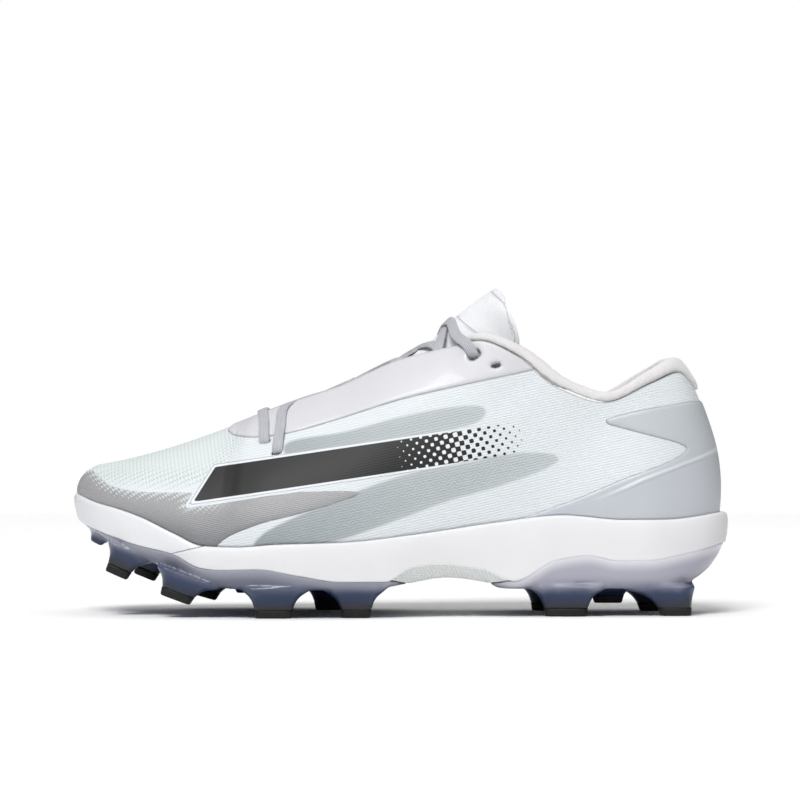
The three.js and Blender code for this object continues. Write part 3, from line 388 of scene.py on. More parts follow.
# %% [markdown]
# ## From a flat grid to a piece
# Most pieces start as Blender's own grid, which is moved onto the shoe point by point,
# as cloth is pulled over a last. A millimetre of cloth is a millimetre in its UV map, so
# knit and ribs keep their real size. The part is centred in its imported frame, and the
# difference is found once, from the box of the midsole.

# %% Making a piece
own_middle = (edge_places[:, 1].min() + edge_places[:, 1].max()) / 2
midsole_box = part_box("midsole")
shift_y = (midsole_box[0][1] + midsole_box[1][1]) / 2 / MM - own_middle
print("the shoe lies", round(shift_y, 2), "mm to the inner side in its frame")


def only(piece):
    """Selects one piece and nothing else."""
    if bpy.context.object and bpy.context.object.mode != "OBJECT":
        bpy.ops.object.mode_set(mode="OBJECT")
    bpy.ops.object.select_all(action="DESELECT")
    piece.select_set(True)
    bpy.context.view_layer.objects.active = piece


def edit(piece, *steps):
    """Runs edit-mode operators on the whole of one piece."""
    only(piece)
    bpy.ops.object.mode_set(mode="EDIT")
    bpy.ops.mesh.select_mode(type="VERT")
    bpy.ops.mesh.select_all(action="SELECT")
    for operator, settings in steps:
        operator(**settings)
    bpy.ops.object.mode_set(mode="OBJECT")


def modified(piece, kind, **settings):
    """Adds a modifier and applies it at once."""
    only(piece)
    modifier = piece.modifiers.new(kind.title(), kind)
    for name, value in settings.items():
        setattr(modifier, name, value)
    bpy.ops.object.modifier_apply(modifier=modifier.name)


def added(operator, name, **settings):
    """Runs an operator that adds an object, and names what it made."""
    bpy.ops.object.select_all(action="DESELECT")
    operator(**settings)
    piece = bpy.context.object
    piece.name = piece.data.name = name
    return piece


def grid_piece(name, columns, rows):
    """Blender's grid, with this many points each way."""
    piece = added(bpy.ops.mesh.primitive_grid_add, name, x_subdivisions=columns - 1,
                  y_subdivisions=rows - 1, size=1)
    assert len(piece.data.vertices) == columns * rows
    return piece


def write_places(piece, places):
    places = np.asarray(places, dtype=float).reshape(-1, 3) + (0, shift_y, 0)
    piece.data.vertices.foreach_set("co", (places * MM).ravel())
    piece.data.update()


def raw_places(piece):
    flat = np.empty(len(piece.data.vertices) * 3)
    piece.data.vertices.foreach_get("co", flat)
    return flat.reshape(-1, 3)


def read_places(piece):
    return raw_places(piece) / MM - (0, shift_y, 0)


def write_uv(piece, name, values):
    """Writes a UV map from one pair of numbers a point."""
    layer = piece.data.uv_layers.get(name) or piece.data.uv_layers.new(name=name)
    corners = np.empty(len(piece.data.loops), dtype=int)
    piece.data.loops.foreach_get("vertex_index", corners)
    layer.data.foreach_set("uv", np.asarray(values, float)[corners].ravel())


def write_number(piece, name, values):
    """Writes a number for each point, such as a distance from a seam."""
    attribute = piece.data.attributes.new(name, "FLOAT", "POINT")
    attribute.data.foreach_set("value", np.asarray(values, dtype=float).ravel())


def closed_up(piece, gap=0.02):
    """Merges points that lie together and turns the faces outwards."""
    edit(piece,
         (bpy.ops.mesh.remove_doubles, {"threshold": gap * MM}),
         (bpy.ops.mesh.dissolve_degenerate, {"threshold": 0.001 * MM}),
         (bpy.ops.mesh.normals_make_consistent, {"inside": False}))
    only(piece)
    bpy.ops.object.shade_smooth()
    return piece


def count_faces(piece):
    triangles = sum(len(face.vertices) - 2 for face in piece.data.polygons)
    print(piece.name, "has", triangles, "triangles")
    return piece


# %% [markdown]
# ## Cutting cloth by a pattern
# A shoemaker cuts each piece flat and then pulls it over the last. The same is done
# here: a grid lies flat, with the loop along X and the rise along Y, and every point is
# raised by its distance from the pattern's edge, so that the edge lies at height zero.
# One bisect at that height cuts the piece out with a smooth edge, and further ones near
# it give the rows of points that round the edge off.

# %% Distances from outlines on the shoe's side
LOOP_SCALE = 300.0
RISE_SCALE = 100.0


def inside_outline(outline, places):
    """Distance from an outline drawn on the shoe's side, above zero inside it."""
    flat = places[..., (0, 2)].reshape(-1, 2)
    starts = np.asarray(outline, dtype=float)
    ends = np.roll(starts, -1, axis=0)
    nearest = np.full(len(flat), FARTHEST)
    inside = np.zeros(len(flat), dtype=bool)
    for start, end in zip(starts, ends):
        run = end - start
        t = np.clip(((flat - start) @ run) / max(run @ run, LEAST), 0, 1)
        nearest = np.minimum(nearest, np.linalg.norm(flat - start - t[:, None] * run, axis=1))
        crosses = (start[1] > flat[:, 1]) != (end[1] > flat[:, 1])
        rise = run[1] if abs(run[1]) > LEAST else LEAST
        at = start[0] + (flat[:, 1] - start[1]) * run[0] / rise
        inside ^= crosses & (flat[:, 0] < at)
    return np.where(inside, nearest, -nearest).reshape(places.shape[:-1])


def in_millimetres(rows):
    """An outline given in shares of the length and of the upper's height."""
    return [(along * LENGTH, upper_level(up)) for along, up in rows]


# %% Cutting a piece from a flat grid
SIDE_COLUMNS = 160
VAMP_COLUMNS = 70
RISE_ROWS = 60
side_shares = np.concatenate([
    np.linspace(0, FRONT_OF_THROAT, SIDE_COLUMNS, endpoint=False),
    np.linspace(FRONT_OF_THROAT, 1, VAMP_COLUMNS)])
full_loop = np.concatenate([side_shares, 2 - side_shares[-2::-1]])
full_rise = np.linspace(0, 1, RISE_ROWS)


def cut_pattern(name, distance, levels=(0.0,)):
    """A flat pattern, cut where distance(places) is zero."""
    piece = grid_piece(name, len(full_loop), len(full_rise))
    loops = np.tile(full_loop, len(full_rise))
    rises = np.repeat(full_rise, len(full_loop))
    height = distance(bare_place(loops, rises))
    flat = np.column_stack([loops * LOOP_SCALE, rises * RISE_SCALE, height])
    piece.data.vertices.foreach_set("co", flat.ravel())
    piece.data.update()
    for level in levels:
        edit(piece, (bpy.ops.mesh.bisect, {
            "plane_co": (0, 0, level), "plane_no": (0, 0, 1), "clear_inner": level == 0,
            "threshold": LEAST_SPAN}))
    return piece


def read_pattern(piece):
    along, up, height = raw_places(piece).T
    return along / LOOP_SCALE, up / RISE_SCALE, height


RIB_SLOPE = math.radians(12.5)


def cloth_maps(piece, loop, rise, places):
    """Two UV maps in millimetres: along and across the cloth, and square to the ribs."""
    write_uv(piece, "cloth", np.column_stack([loop * SIDE_RUN, girth_at(loop, rise)]))
    along = places[:, 0] * math.cos(RIB_SLOPE) + places[:, 2] * math.sin(RIB_SLOPE)
    across = places[:, 2] * math.cos(RIB_SLOPE) - places[:, 0] * math.sin(RIB_SLOPE)
    write_uv(piece, "ribs", np.column_stack([along, across]))


# %% [markdown]
# ## Eyelets
# The lace needs real holes. A round hole is a short distance field of its own, and the
# pattern's distance is the smaller of the two, so the same bisect opens the holes.

# %% Places of the eyelets on the side, in millimetres
EYELETS = table("x z long wide turn", [
    (33.4, 117.9, 6.4, 4.0, 35), (43.1, 113.2, 4.6, 2.3, 15),
    (-55.6, 74.0, 5.4, 2.0, 5), (-60.6, 79.2, 5.0, 2.0, 5),
])


def away_from_eyelets(places):
    nearest = np.full(places.shape[:-1], FARTHEST)
    for x, z, long, wide, turn in zip(*EYELETS.values()):
        angle = math.radians(turn)
        right, up = places[..., 0] - x, places[..., 2] - z
        along = right * math.cos(angle) + up * math.sin(angle)
        across = up * math.cos(angle) - right * math.sin(angle)
        core = np.maximum(np.abs(along) - (long - wide) / 2, 0)
        nearest = np.minimum(nearest, np.hypot(core, across) - wide / 2)
    return nearest


# %% [markdown]
# ## The knitted upper
# One knitted sock from heel to toe, 1.8 mm thick. It could be modelled from a box with
# subdivision, but the last already gives its form, so a fine grid is pulled over it and
# Solidify gives the wall. The colour zones of the film print are told to the material
# as distances in millimetres from their outlines, which stay sharp at any size.

# %% Zones of the knit
UPPER_STREAK = spline([
    (37, 95), (39, 92.5), (36, 88), (24, 84), (-2, 79), (-26, 76), (-52, 73), (-52, 78),
    (-24, 84), (0, 90.5), (24, 95)], closed=True, steps=6)
LOWER_STREAK = spline([
    (70.5, 73), (71.5, 70.5), (67, 67), (46, 59), (22, 52), (0, 44), (-30, 34), (-66, 28),
    (-64, 36), (-30, 53), (0, 64), (24, 70), (46, 73.5), (60, 74.5)], closed=True, steps=6)
MESH_ZONE = [(-160, 56), (-136, 57), (-120, 57), (-104, 56), (-84, 58), (-76, 66), (-68, 84),
             (-60, 110), (-160, 110)]
PRINT_ZONE = [(-95, 50.5), (-84, 68.5), (64, 90.5), (53, 72.5)]
NO_SEAM_SHADE_LINE = 9.0


knit = cut_pattern("knit_upper", away_from_eyelets)
knit_loop, knit_rise, _ = read_pattern(knit)
knit_places = on_last(knit_loop, knit_rise, 0)
cloth_maps(knit, knit_loop, knit_rise, knit_places)
for zone_name, zone in (("upper_streak", UPPER_STREAK), ("lower_streak", LOWER_STREAK),
                        ("mesh_zone", MESH_ZONE), ("print_zone", PRINT_ZONE)):
    write_number(knit, zone_name, inside_outline(zone, knit_places))
# Distance below the top line at the collar, for a grey line there: a seam, with painted shade under
# the collar roll.
from_top = girth_at(knit_loop, np.ones(len(knit_loop))) - girth_at(knit_loop, knit_rise)
in_collar = side_share(knit_loop) < FRONT_OF_COLLAR
write_number(knit, "from_top", np.where(in_collar, from_top, NO_SEAM_SHADE_LINE))
write_places(knit, knit_places)
closed_up(knit)
print("knit pulled over the last:", len(knit.data.vertices), "points")


# %% [markdown]
# ## Overlays: eyestay, toe guard and heel counter
# These are thin films, fused to the knit under heat. Each is cut from the same flat
# grid, so it lies exactly on the cloth. Its lift grows over the first millimetre or two
# from its edge, which rounds the edge as a hot press does, and Solidify gives it a wall
# that sinks a little into the knit.

# %% One film over the cloth
FILM_ROUNDING = table("at lift", [(0, 0.12), (0.35, 0.5), (0.9, 0.85), (1.6, 1.0)])
FILM_WALL = 1.1


def film(name, distance, thickness=OVERLAY_WALL, rounding=1.0):
    """A pressed film: thin at its edge, its full thickness further in."""
    levels = (FILM_ROUNDING["at"] * rounding).tolist()
    piece = cut_pattern(name, distance, levels)
    loops, rises, inside = read_pattern(piece)
    lift = thickness * smooth(FILM_ROUNDING, "lift", inside / rounding)
    places = on_last(loops, rises, lift)
    cloth_maps(piece, loops, rises, places)
    write_number(piece, "from_edge", inside)
    write_places(piece, places)
    closed_up(piece)
    modified(piece, "SOLIDIFY", thickness=FILM_WALL * MM, offset=-1.0)
    return count_faces(piece)


# %% The eyestay
EYESTAY_OUTLINE = np.concatenate([
    spline(in_millimetres([
        (-0.25, 0.66), (-0.2625, 0.59), (-0.255, 0.555), (-0.24, 0.54), (-0.214, 0.536),
        (-0.169, 0.565), (-0.092, 0.667), (0, 0.804), (0.091, 0.905), (0.182, 0.998),
        (0.21, 1.03), (0.3, 1.12)]), steps=6),
    in_millimetres([(0.3, 1.7), (-0.24, 1.7)])])


def eyestay_edge(places):
    outline = inside_outline(EYESTAY_OUTLINE, places)
    return np.minimum(outline, away_from_eyelets(places))


eyestay = film("eyestay_film", eyestay_edge)

# %% The toe guard
TOE_GUARD_OUTLINE = spline(in_millimetres([
    (-0.56, 0.30), (-0.47, 0.29), (-0.454, 0.235), (-0.438, 0.195), (-0.413, 0.165),
    (-0.36, 0.15), (-0.30, 0.15), (-0.16, 0.16), (-0.059, 0.153), (-0.092, 0.088),
    (-0.153, 0.002), (-0.214, -0.077), (-0.27, -0.21), (-0.3, -0.5), (-0.56, -0.5)]),
    closed=True, steps=6)
PRINT_MARGIN = 1.2


def toe_guard_edge(places):
    beside_print = -PRINT_MARGIN - inside_outline(PRINT_ZONE, places)
    return np.minimum(inside_outline(TOE_GUARD_OUTLINE, places), beside_print)


toe_guard = film("toe_guard_film", toe_guard_edge, thickness=0.5, rounding=2.0)

# %% The heel counter
HEEL_COUNTER_OUTLINE = np.concatenate([
    spline(in_millimetres([
        (0.3085, 0.647), (0.309, 0.664), (0.328, 0.697), (0.363, 0.735), (0.397, 0.766),
        (0.443, 0.797), (0.54, 0.81)]), steps=6),
    in_millimetres([(0.56, -0.4), (0.13, -0.4)]),
    spline(in_millimetres([
        (0.15, -0.08), (0.198, -0.005), (0.264, 0.107), (0.33, 0.238), (0.397, 0.358),
        (0.424, 0.425), (0.43, 0.46), (0.42, 0.492), (0.397, 0.524), (0.363, 0.566),
        (0.33, 0.609), (0.313, 0.631)]), steps=6)])
COUNTER_RIDGE = [(143.6, 74.7), (137.2, 71.9), (128, 68.7), (118.8, 65.3), (109.7, 61.8),
                 (100.5, 57.7), (91.4, 54.0), (82.2, 50.4), (50, 37)]
FAR_ABOVE_RIDGE = [(50, 200), (200, 200), (200, 97)]


def heel_counter_edge(places):
    return inside_outline(HEEL_COUNTER_OUTLINE, places)


heel_counter = film("heel_counter_film", heel_counter_edge, rounding=1.2)
from_ridge = inside_outline(COUNTER_RIDGE + FAR_ABOVE_RIDGE, read_places(heel_counter))
write_number(heel_counter, "from_ridge", from_ridge)


# %% [markdown]
# ## The sole
# The midsole is a foam cup, the toe wrap a harder moulding in front of it. Both are one
# form of closed rings round the shoe, each ring an inset from the sole's edge at its own
# level. The last ring runs in to the shoe's middle and closes the form. A bisect along
# the seam parts them, with a fill, so both stay closed.

# %% A form of rings
RING_STEPS = 4


def towards_middle(ring, share):
    """A ring moved towards the middle line between its outer and inner side."""
    return ring + ((ring + ring[::-1]) / 2 - ring) * share


def ring_form(name, rings):
    """A closed form from rings of (inset, level) round the sole."""
    profile = []
    for inset, level in rings:
        place = edge_inset(full_loop, inset)
        height = level(place[..., 0])
        profile.append(np.column_stack([place, height]))
    walls = spline(np.array(profile), steps=RING_STEPS)
    first = [towards_middle(walls[0], share) for share in (1, 0.5)]
    last = [towards_middle(walls[-1], share) for share in (0.5, 1)]
    places = np.concatenate([first, walls, last])
    piece = grid_piece(name, len(full_loop), len(places))
    write_uv(piece, "ring", np.column_stack([
        np.tile(full_loop * SIDE_RUN, len(places)),
        np.repeat(np.arange(len(places)), len(full_loop))]))
    write_places(piece, places)
    return closed_up(piece)


# %% The cup, cut into toe wrap and midsole
RIM_INSET = 1.5 * SOLE_STEP + UPPER_WALL + 1.7
BED_INSET = RIM_INSET + 2


def level_between(low_line, high_line, share, below=0.0):
    """A level between two lines of the sole, the upper one lowered if asked."""
    def level(x):
        floor = line_level(low_line, x)
        return floor + share * (line_level(high_line, x) - below - floor)
    return level


def cup_level(share):
    """A level between the cup's floor and its rim."""
    return level_between(PLATE_TOP_LINE, FEATHER_LINE, share, below=CLEARANCE)


def bed_level(x):
    return line_level(FOOTBED_LINE, x)


sole_cup = ring_form("midsole_foam", [
    (PLATE_TUCK + 1, cup_level(0)), (2.2, cup_level(-0.01)), (1.15, cup_level(-0.012)),
    (0.75, cup_level(0.12)), (0.3, cup_level(0.34)), (0, cup_level(0.65)), (0.3, cup_level(0.88)),
    (0.9, cup_level(0.98)), (1.6, cup_level(1)), (RIM_INSET - 0.6, cup_level(1)),
    (RIM_INSET + 0.2, cup_level(0.97)), (BED_INSET, bed_level)])
print("cup:", len(sole_cup.data.vertices), "points")


def own_copy(piece, name):
    """A copy with a mesh of its own."""
    only(piece)
    bpy.ops.object.duplicate()
    copy = bpy.context.object
    copy.name = copy.data.name = name
    return copy


SEAM_START = np.array([-102.0, 28.9])
SEAM_END = np.array([-88.2, 32.3])
HALF_SEAM = 0.12
seam_run = SEAM_END - SEAM_START
seam_normal = np.array([-seam_run[1], 0, seam_run[0]]) / np.linalg.norm(seam_run)
toe_wrap = own_copy(sole_cup, "toe_wrap_moulding")
midsole = sole_cup
for piece, shift, side in ((toe_wrap, HALF_SEAM, "clear_inner"),
                           (midsole, -HALF_SEAM, "clear_outer")):
    seam_place = np.array([SEAM_START[0], 0, SEAM_START[1]]) + seam_normal * shift
    edit(piece, (bpy.ops.mesh.bisect, {
        "plane_co": seam_place * MM, "plane_no": seam_normal, "use_fill": True, side: True}))
    count_faces(piece)

# %% [markdown]
# ## Plates and studs
# Plate and studs come out of one mould, so nothing is stuck on: every stud flows into
# the plate with a hollow curve. That is hard to model face by face. Here the plate and
# rough studs are laid into each other, and a voxel remesh melts them into one skin, as a
# sculptor would join clay. A little smoothing then gives the mould's radii.

# %% The plate's form and the arch insert
ARCH_OUTLINE = [(-0.034, 0.18), (0.015, 0.082), (0.015, -0.2), (0.129, -0.2), (0.129, 0.082),
                (0.184, 0.15), (0.184, 1), (-0.034, 1)]


def plate_level(share):
    return level_between(TREAD_LINE, PLATE_TOP_LINE, share)


def side_prism(name, outline, grow=0.0):
    """A cutter with an outline on the shoe's side, right through the shoe."""
    cutter = added(bpy.ops.mesh.primitive_circle_add, name, vertices=len(outline),
                   fill_type="NGON")
    middle = np.mean(outline, axis=0)
    places = []
    for along, up in outline:
        side = 1 if along > middle[0] else -1
        low = -grow if up < 0.5 else grow
        places.append((along * LENGTH + side * grow, -BALL_WIDTH, sole_level(up) + low))
    write_places(cutter, places)
    edit(cutter,
         (bpy.ops.mesh.extrude_region_move, {
             "TRANSFORM_OT_translate": {"value": (0, 2 * BALL_WIDTH * MM, 0)}}),
         (bpy.ops.mesh.select_all, {"action": "SELECT"}),
         (bpy.ops.mesh.normals_make_consistent, {"inside": False}))
    return cutter


plate_form = ring_form("plate_form", [
    (PLATE_TUCK, plate_level(0)), (0.45 * PLATE_TUCK, plate_level(0.3)),
    (1.9, plate_level(0.72)), (1.0, plate_level(0.97)), (1.7, plate_level(1.04)),
    (PLATE_TUCK + 1, plate_level(1.04))])
arch_insert = own_copy(plate_form, "arch_insert_moulding")
arch_cutter = side_prism("arch_cutter", ARCH_OUTLINE)
modified(arch_insert, "BOOLEAN", operation="INTERSECT", object=arch_cutter, solver="EXACT")
count_faces(arch_insert)

# %% One stud, as a stack of chamfered outlines
STUD_LENGTH = 16.0
STUD_WIDTH = 8.5
STUD_FLARE = 8.0
STUD_TIP = 3.3
Stud = namedtuple("Stud", "name along across long wide high ahead behind")
STUDS = [Stud(*row) for row in (
    ("toe_outer", -0.457, -0.03, 0.38, 0.6, 0.36, 0.3, 0.5),
    ("toe_inner", -0.457, 0.19, 0.38, 0.6, 0.36, 0.3, 0.5),
    ("outer_1", -0.412, -0.215, 0.66, 0.9, 0.95, 0.5, 1),
    ("outer_2", -0.324, -0.35, 0.88, 1, 0.88, 0.7, 1.3),
    ("outer_3", -0.189, -0.4, 1, 1, 1, 0.8, 1.1),
    ("outer_4", -0.066, -0.36, 0.8, 1, 1, 1.1, 0.9),
    ("inner_1", -0.383, 0.275, 0.66, 0.9, 0.9, 0.5, 1),
    ("inner_2", -0.3, 0.35, 0.88, 1, 0.84, 0.7, 1.3),
    ("inner_3", -0.2, 0.36, 1, 1, 1, 0.8, 1.1),
    ("inner_4", -0.11, 0.29, 0.8, 1, 1, 1.1, 0.9),
    ("middle", -0.242, 0.02, 0.32, 0.6, 0.3, 0.4, 0.4),
    ("heel_outer_1", 0.249, -0.245, 1.17, 1, 1, 0.9, 1.1),
    ("heel_outer_2", 0.416, -0.2, 0.86, 1, 1, 2.4, 0.2),
    ("heel_inner_1", 0.235, 0.215, 1.17, 1, 1, 0.9, 1.1),
    ("heel_inner_2", 0.393, 0.2, 0.86, 1, 1, 2.2, 0.4),
    ("heel_middle", 0.317, 0, 0.8, 0.9, 0.62, 0.8, 0.8),
)]
SIDE_SPREAD = 0.75
STUD_SPREAD = table("at spread", [(0, 0), (0.3, 0.08), (0.6, 0.25), (0.82, 0.55), (1, 1)])
CHAMFERED = np.array([
    (1, 0.35), (0.92, 0.75), (0.7, 1), (0, 1), (-0.7, 1), (-0.92, 0.75), (-1, 0.35),
    (-1, -0.35), (-0.92, -0.75), (-0.7, -1), (0, -1), (0.7, -1), (0.92, -0.75), (1, -0.35)])


def stud_rings(stud, levels, shrink=0.0):
    """Outlines of a stud at some levels over its tip, before it is set in place."""
    rings = []
    for level in levels:
        share = level / (stud.high * STUD_HEIGHT)
        spread = STUD_FLARE * float(smooth(STUD_SPREAD, "spread", share))
        half_wide = stud.wide * (STUD_WIDTH / 2 + SIDE_SPREAD * spread) - shrink
        reach = np.where(CHAMFERED[:, 0] < 0, stud.ahead, stud.behind) * spread
        half_long = stud.long * STUD_LENGTH / 2 + reach - shrink
        rings.append(np.column_stack([
            CHAMFERED[:, 0] * half_long, CHAMFERED[:, 1] * half_wide,
            np.full(len(CHAMFERED), level)]))
    return rings


TILTED_BEFORE = -0.25


def set_stud(stud, places):
    """Stands a stud square to the underside, where it belongs."""
    x = stud.along * LENGTH
    reach = 4.0
    rise = line_level(TREAD_LINE, x + reach) - line_level(TREAD_LINE, x - reach)
    tilt = math.atan2(rise, 2 * reach) if stud.along < TILTED_BEFORE else 0.0
    down = places - (0, 0, stud.high * STUD_HEIGHT)
    turned = down.copy()
    turned[..., 0] = down[..., 0] * math.cos(tilt) - down[..., 2] * math.sin(tilt)
    turned[..., 2] = down[..., 2] * math.cos(tilt) + down[..., 0] * math.sin(tilt)
    return turned + (x, stud.across * BALL_WIDTH, line_level(TREAD_LINE, x))


def lofted(name, rings, uv=None):
    """A closed form through rings of points, with flat ends."""
    rings = np.array(rings)
    ring_count, sides = rings.shape[:2]
    middles = rings.mean(axis=1, keepdims=True)
    first = np.repeat(middles[:1], sides, axis=1)
    last = np.repeat(middles[-1:], sides, axis=1)
    rings = np.concatenate([first, rings, last])
    rings = np.concatenate([rings, rings[:, :1]], axis=1)
    piece = grid_piece(name, sides + 1, ring_count + 2)
    if uv:
        write_uv(piece, uv, ring_lengths(rings))
    write_places(piece, rings)
    return closed_up(piece, gap=0.001)


def ring_lengths(rings):
    """For each point, the way along the form and its way round, in millimetres."""
    middles = rings.mean(axis=1)
    steps = np.linalg.norm(np.diff(middles, axis=0), axis=1)
    along = np.concatenate([[0], np.cumsum(steps)])
    round_steps = np.linalg.norm(np.diff(rings, axis=1), axis=2)
    around = np.pad(np.cumsum(round_steps, axis=1), ((0, 0), (1, 0)))
    along = np.repeat(along[:, None], rings.shape[1], axis=1)
    return np.stack([along, around], -1).reshape(-1, 2)


def has_tip(stud):
    return stud.high * STUD_HEIGHT > 1.5 * STUD_TIP


def stud_body(stud):
    """A stud that starts over its tip and ends inside the plate."""
    start = STUD_TIP if has_tip(stud) else 0.0
    levels = np.linspace(start, stud.high * STUD_HEIGHT + 1.5, 10)
    return lofted("stud_" + stud.name, set_stud(stud, np.array(stud_rings(stud, levels))))


# %% The two plates
PLATE_MIDDLE = 0.07 * LENGTH
VOXEL = 0.85


def joined(pieces, name):
    only(pieces[0])
    for piece in pieces[1:]:
        piece.select_set(True)
    bpy.ops.object.join()
    whole = bpy.context.object
    whole.name = whole.data.name = name
    return whole


def moulded_plate(name, at_heel):
    """Half of the plate with its studs, melted into one skin."""
    plate = own_copy(plate_form, name)
    side = "clear_inner" if at_heel else "clear_outer"
    edit(plate, (bpy.ops.mesh.bisect, {
        "plane_co": (PLATE_MIDDLE * MM, 0, 0), "plane_no": (1, 0, 0), "use_fill": True,
        side: True}))
    cutter = side_prism("plate_cutter", ARCH_OUTLINE, grow=CLEARANCE)
    modified(plate, "BOOLEAN", operation="DIFFERENCE", object=cutter, solver="EXACT")
    bpy.data.objects.remove(cutter)
    mine = [stud for stud in STUDS if (stud.along * LENGTH > PLATE_MIDDLE) == at_heel]
    whole = joined([plate] + [stud_body(stud) for stud in mine], name)
    modified(whole, "REMESH", mode="VOXEL", voxel_size=VOXEL * MM, use_smooth_shade=True)
    edit(whole, (bpy.ops.mesh.vertices_smooth, {"factor": 0.5, "repeat": 3}))
    places = read_places(whole)
    write_number(whole, "under_tread", line_level(TREAD_LINE, places[:, 0]) - places[:, 2])
    write_number(whole, "under_top", line_level(PLATE_TOP_LINE, places[:, 0]) - places[:, 2])
    return count_faces(whole)


forefoot_plate = moulded_plate("forefoot_plate_moulding", at_heel=False)
heel_plate = moulded_plate("heel_plate_moulding", at_heel=True)
for helper in (plate_form, arch_cutter):
    bpy.data.objects.remove(helper)

# %% The tips of the studs
TIP_LEVELS = (0.0, 0.3, 0.9, 1.6, 2.6, STUD_TIP + 0.3)
TIP_SHRINK = (0.45, 0.12, 0.0, 0.0, 0.0, 0.0)
stud_tips = []
for stud in STUDS:
    if not has_tip(stud):
        continue
    rings = [stud_rings(stud, [level], shrink)[0]
             for level, shrink in zip(TIP_LEVELS, TIP_SHRINK)]
    tip = lofted("tip_" + stud.name, set_stud(stud, np.array(rings)))
    stud_tips.append((tip, "stud_tip_" + stud.name))
print(len(stud_tips), "stud tips")


# %% [markdown]
# ## Insole and wall of the knit
# The insole is a slab of rings in the cup, with its rim rounded. The knit gets its wall
# last, as a real sock upper has a soft lining on its inner side.

# %% Insole
INSOLE_THICKNESS = 3.5
insole_edge = BED_INSET + 2 * CLEARANCE


def insole_level(height):
    def level(x):
        return bed_level(x) + CLEARANCE + height
    return level


insole = ring_form("insole_textile", [
    (insole_edge + 4, insole_level(0)), (insole_edge, insole_level(0.2)),
    (insole_edge - 0.2, insole_level(1.5)), (insole_edge + 0.6, insole_level(3.1)),
    (insole_edge + 3, insole_level(INSOLE_THICKNESS))])
count_faces(insole)

# %% The knit's wall, its inner face on the second material
outer_faces = len(knit.data.polygons)
modified(knit, "SOLIDIFY", thickness=UPPER_WALL * MM, offset=-1.0)
inner_faces = knit.data.polygons[outer_faces:2 * outer_faces]
print("faces of the lining:", len(inner_faces))
count_faces(knit)

# %% [markdown]
# ## The padded collar
# Foam is wrapped in soft cloth and turned into the shoe, so the collar is a roll that
# grows towards the heel. It is a sweep along the top line. The spine of each section
# stands square to the line and leans inwards, as the solid's does.

# %% The collar's roll
COLLAR_THICKNESS = 6.8
COLLAR_STATIONS = 150
HEEL_BULGE = 2.4
HEEL_BULGE_END = 0.11
COLLAR_SIDES = 28
COLLAR_TAPER = 0.03
ROUNDNESS = 0.8
CUSHION_SINK = 0.5


def horizontal(vectors):
    return unit(vectors * (1, 1, 0))


def square_to_top_line(share):
    """Upward and square to the top line, seen from the side."""
    reach = 0.045
    start = top_place(np.maximum(share - reach, 0))
    end = top_place(share + reach)
    run = np.linalg.norm((end - start)[:, :2], axis=1)
    slope = (end - start)[:, 2] / run * np.clip(share / reach, 0, 1)
    back = horizontal(start - end)
    return unit(back * slope[:, None] + (0, 0, 1))


def rounded(value):
    return np.sign(value) * np.abs(value) ** ROUNDNESS


def collar_sections():
    side = np.linspace(-1, 1, COLLAR_STATIONS)
    share = np.abs(side) * FRONT_OF_COLLAR
    loop = np.where(side < 0, share, 2 - share)
    top = top_place(loop)
    outward = horizontal(feather_place(loop) - top)
    rise = COLLAR_THICKNESS * smooth(COLLAR_ROLL, "rise", share, True)
    lean = COLLAR_THICKNESS * smooth(COLLAR_ROLL, "lean", share, True)
    square = square_to_top_line(share)
    spine = square * rise[:, None] - outward * lean[:, None]
    half = COLLAR_THICKNESS / 2
    centre = top + outward * (OVERLAY_WALL - half) + spine / 2
    centre = centre + square * (1.5 * CLEARANCE - CUSHION_SINK)
    at_heel = np.clip(1 - share / HEEL_BULGE_END, 0, 1)
    bulge = HEEL_BULGE * at_heel**2 * (3 - 2 * at_heel)
    centre = centre + outward * bulge[:, None]
    taper = np.sqrt(np.clip((FRONT_OF_COLLAR - share) / COLLAR_TAPER, 0, 1))[:, None]
    angle = np.arange(COLLAR_SIDES) / COLLAR_SIDES * 2 * math.pi
    along_out, along_up = rounded(np.cos(angle)), rounded(np.sin(angle))
    low_fixed = np.where(along_up < 0, 1, taper)
    sections = centre[:, None] + outward[:, None] * (half * along_out * taper)[..., None]
    return sections + spine[:, None] * 0.5 * (along_up * low_fixed)[..., None]


collar = lofted("collar_padding", collar_sections())

# %% [markdown]
# ## Filling a pad
# Foam pushes its cover out between the seams. The collar's sections crowd at the heel, so
# a voxel remesh first turns it into even squares. The tongue's net is even already, and
# keeps its thin edges without one. The form becomes cloth and is blown up from within for
# twenty frames, without gravity. How far a point may move is capped, so that the pad
# swells but keeps its shape, and neighbours share their movement, so that thin edges stay
# even. One subdivision smooths the result.

# %% Padding by cloth simulation
PAD_FRAMES = 20
PAD_PRESSURE = 4.0
EVENING_PASSES = 14


def evened(piece, moved):
    """Averages each point's movement with its neighbours', pass by pass."""
    ends = np.zeros(2 * len(piece.data.edges), dtype=int)
    piece.data.edges.foreach_get("vertices", ends)
    first, second = ends[::2], ends[1::2]
    neighbours = np.bincount(ends, minlength=len(moved))[:, None]
    for _ in range(EVENING_PASSES):
        total = np.zeros_like(moved)
        np.add.at(total, first, moved[second])
        np.add.at(total, second, moved[first])
        moved = (moved + total / neighbours) / 2
    return moved


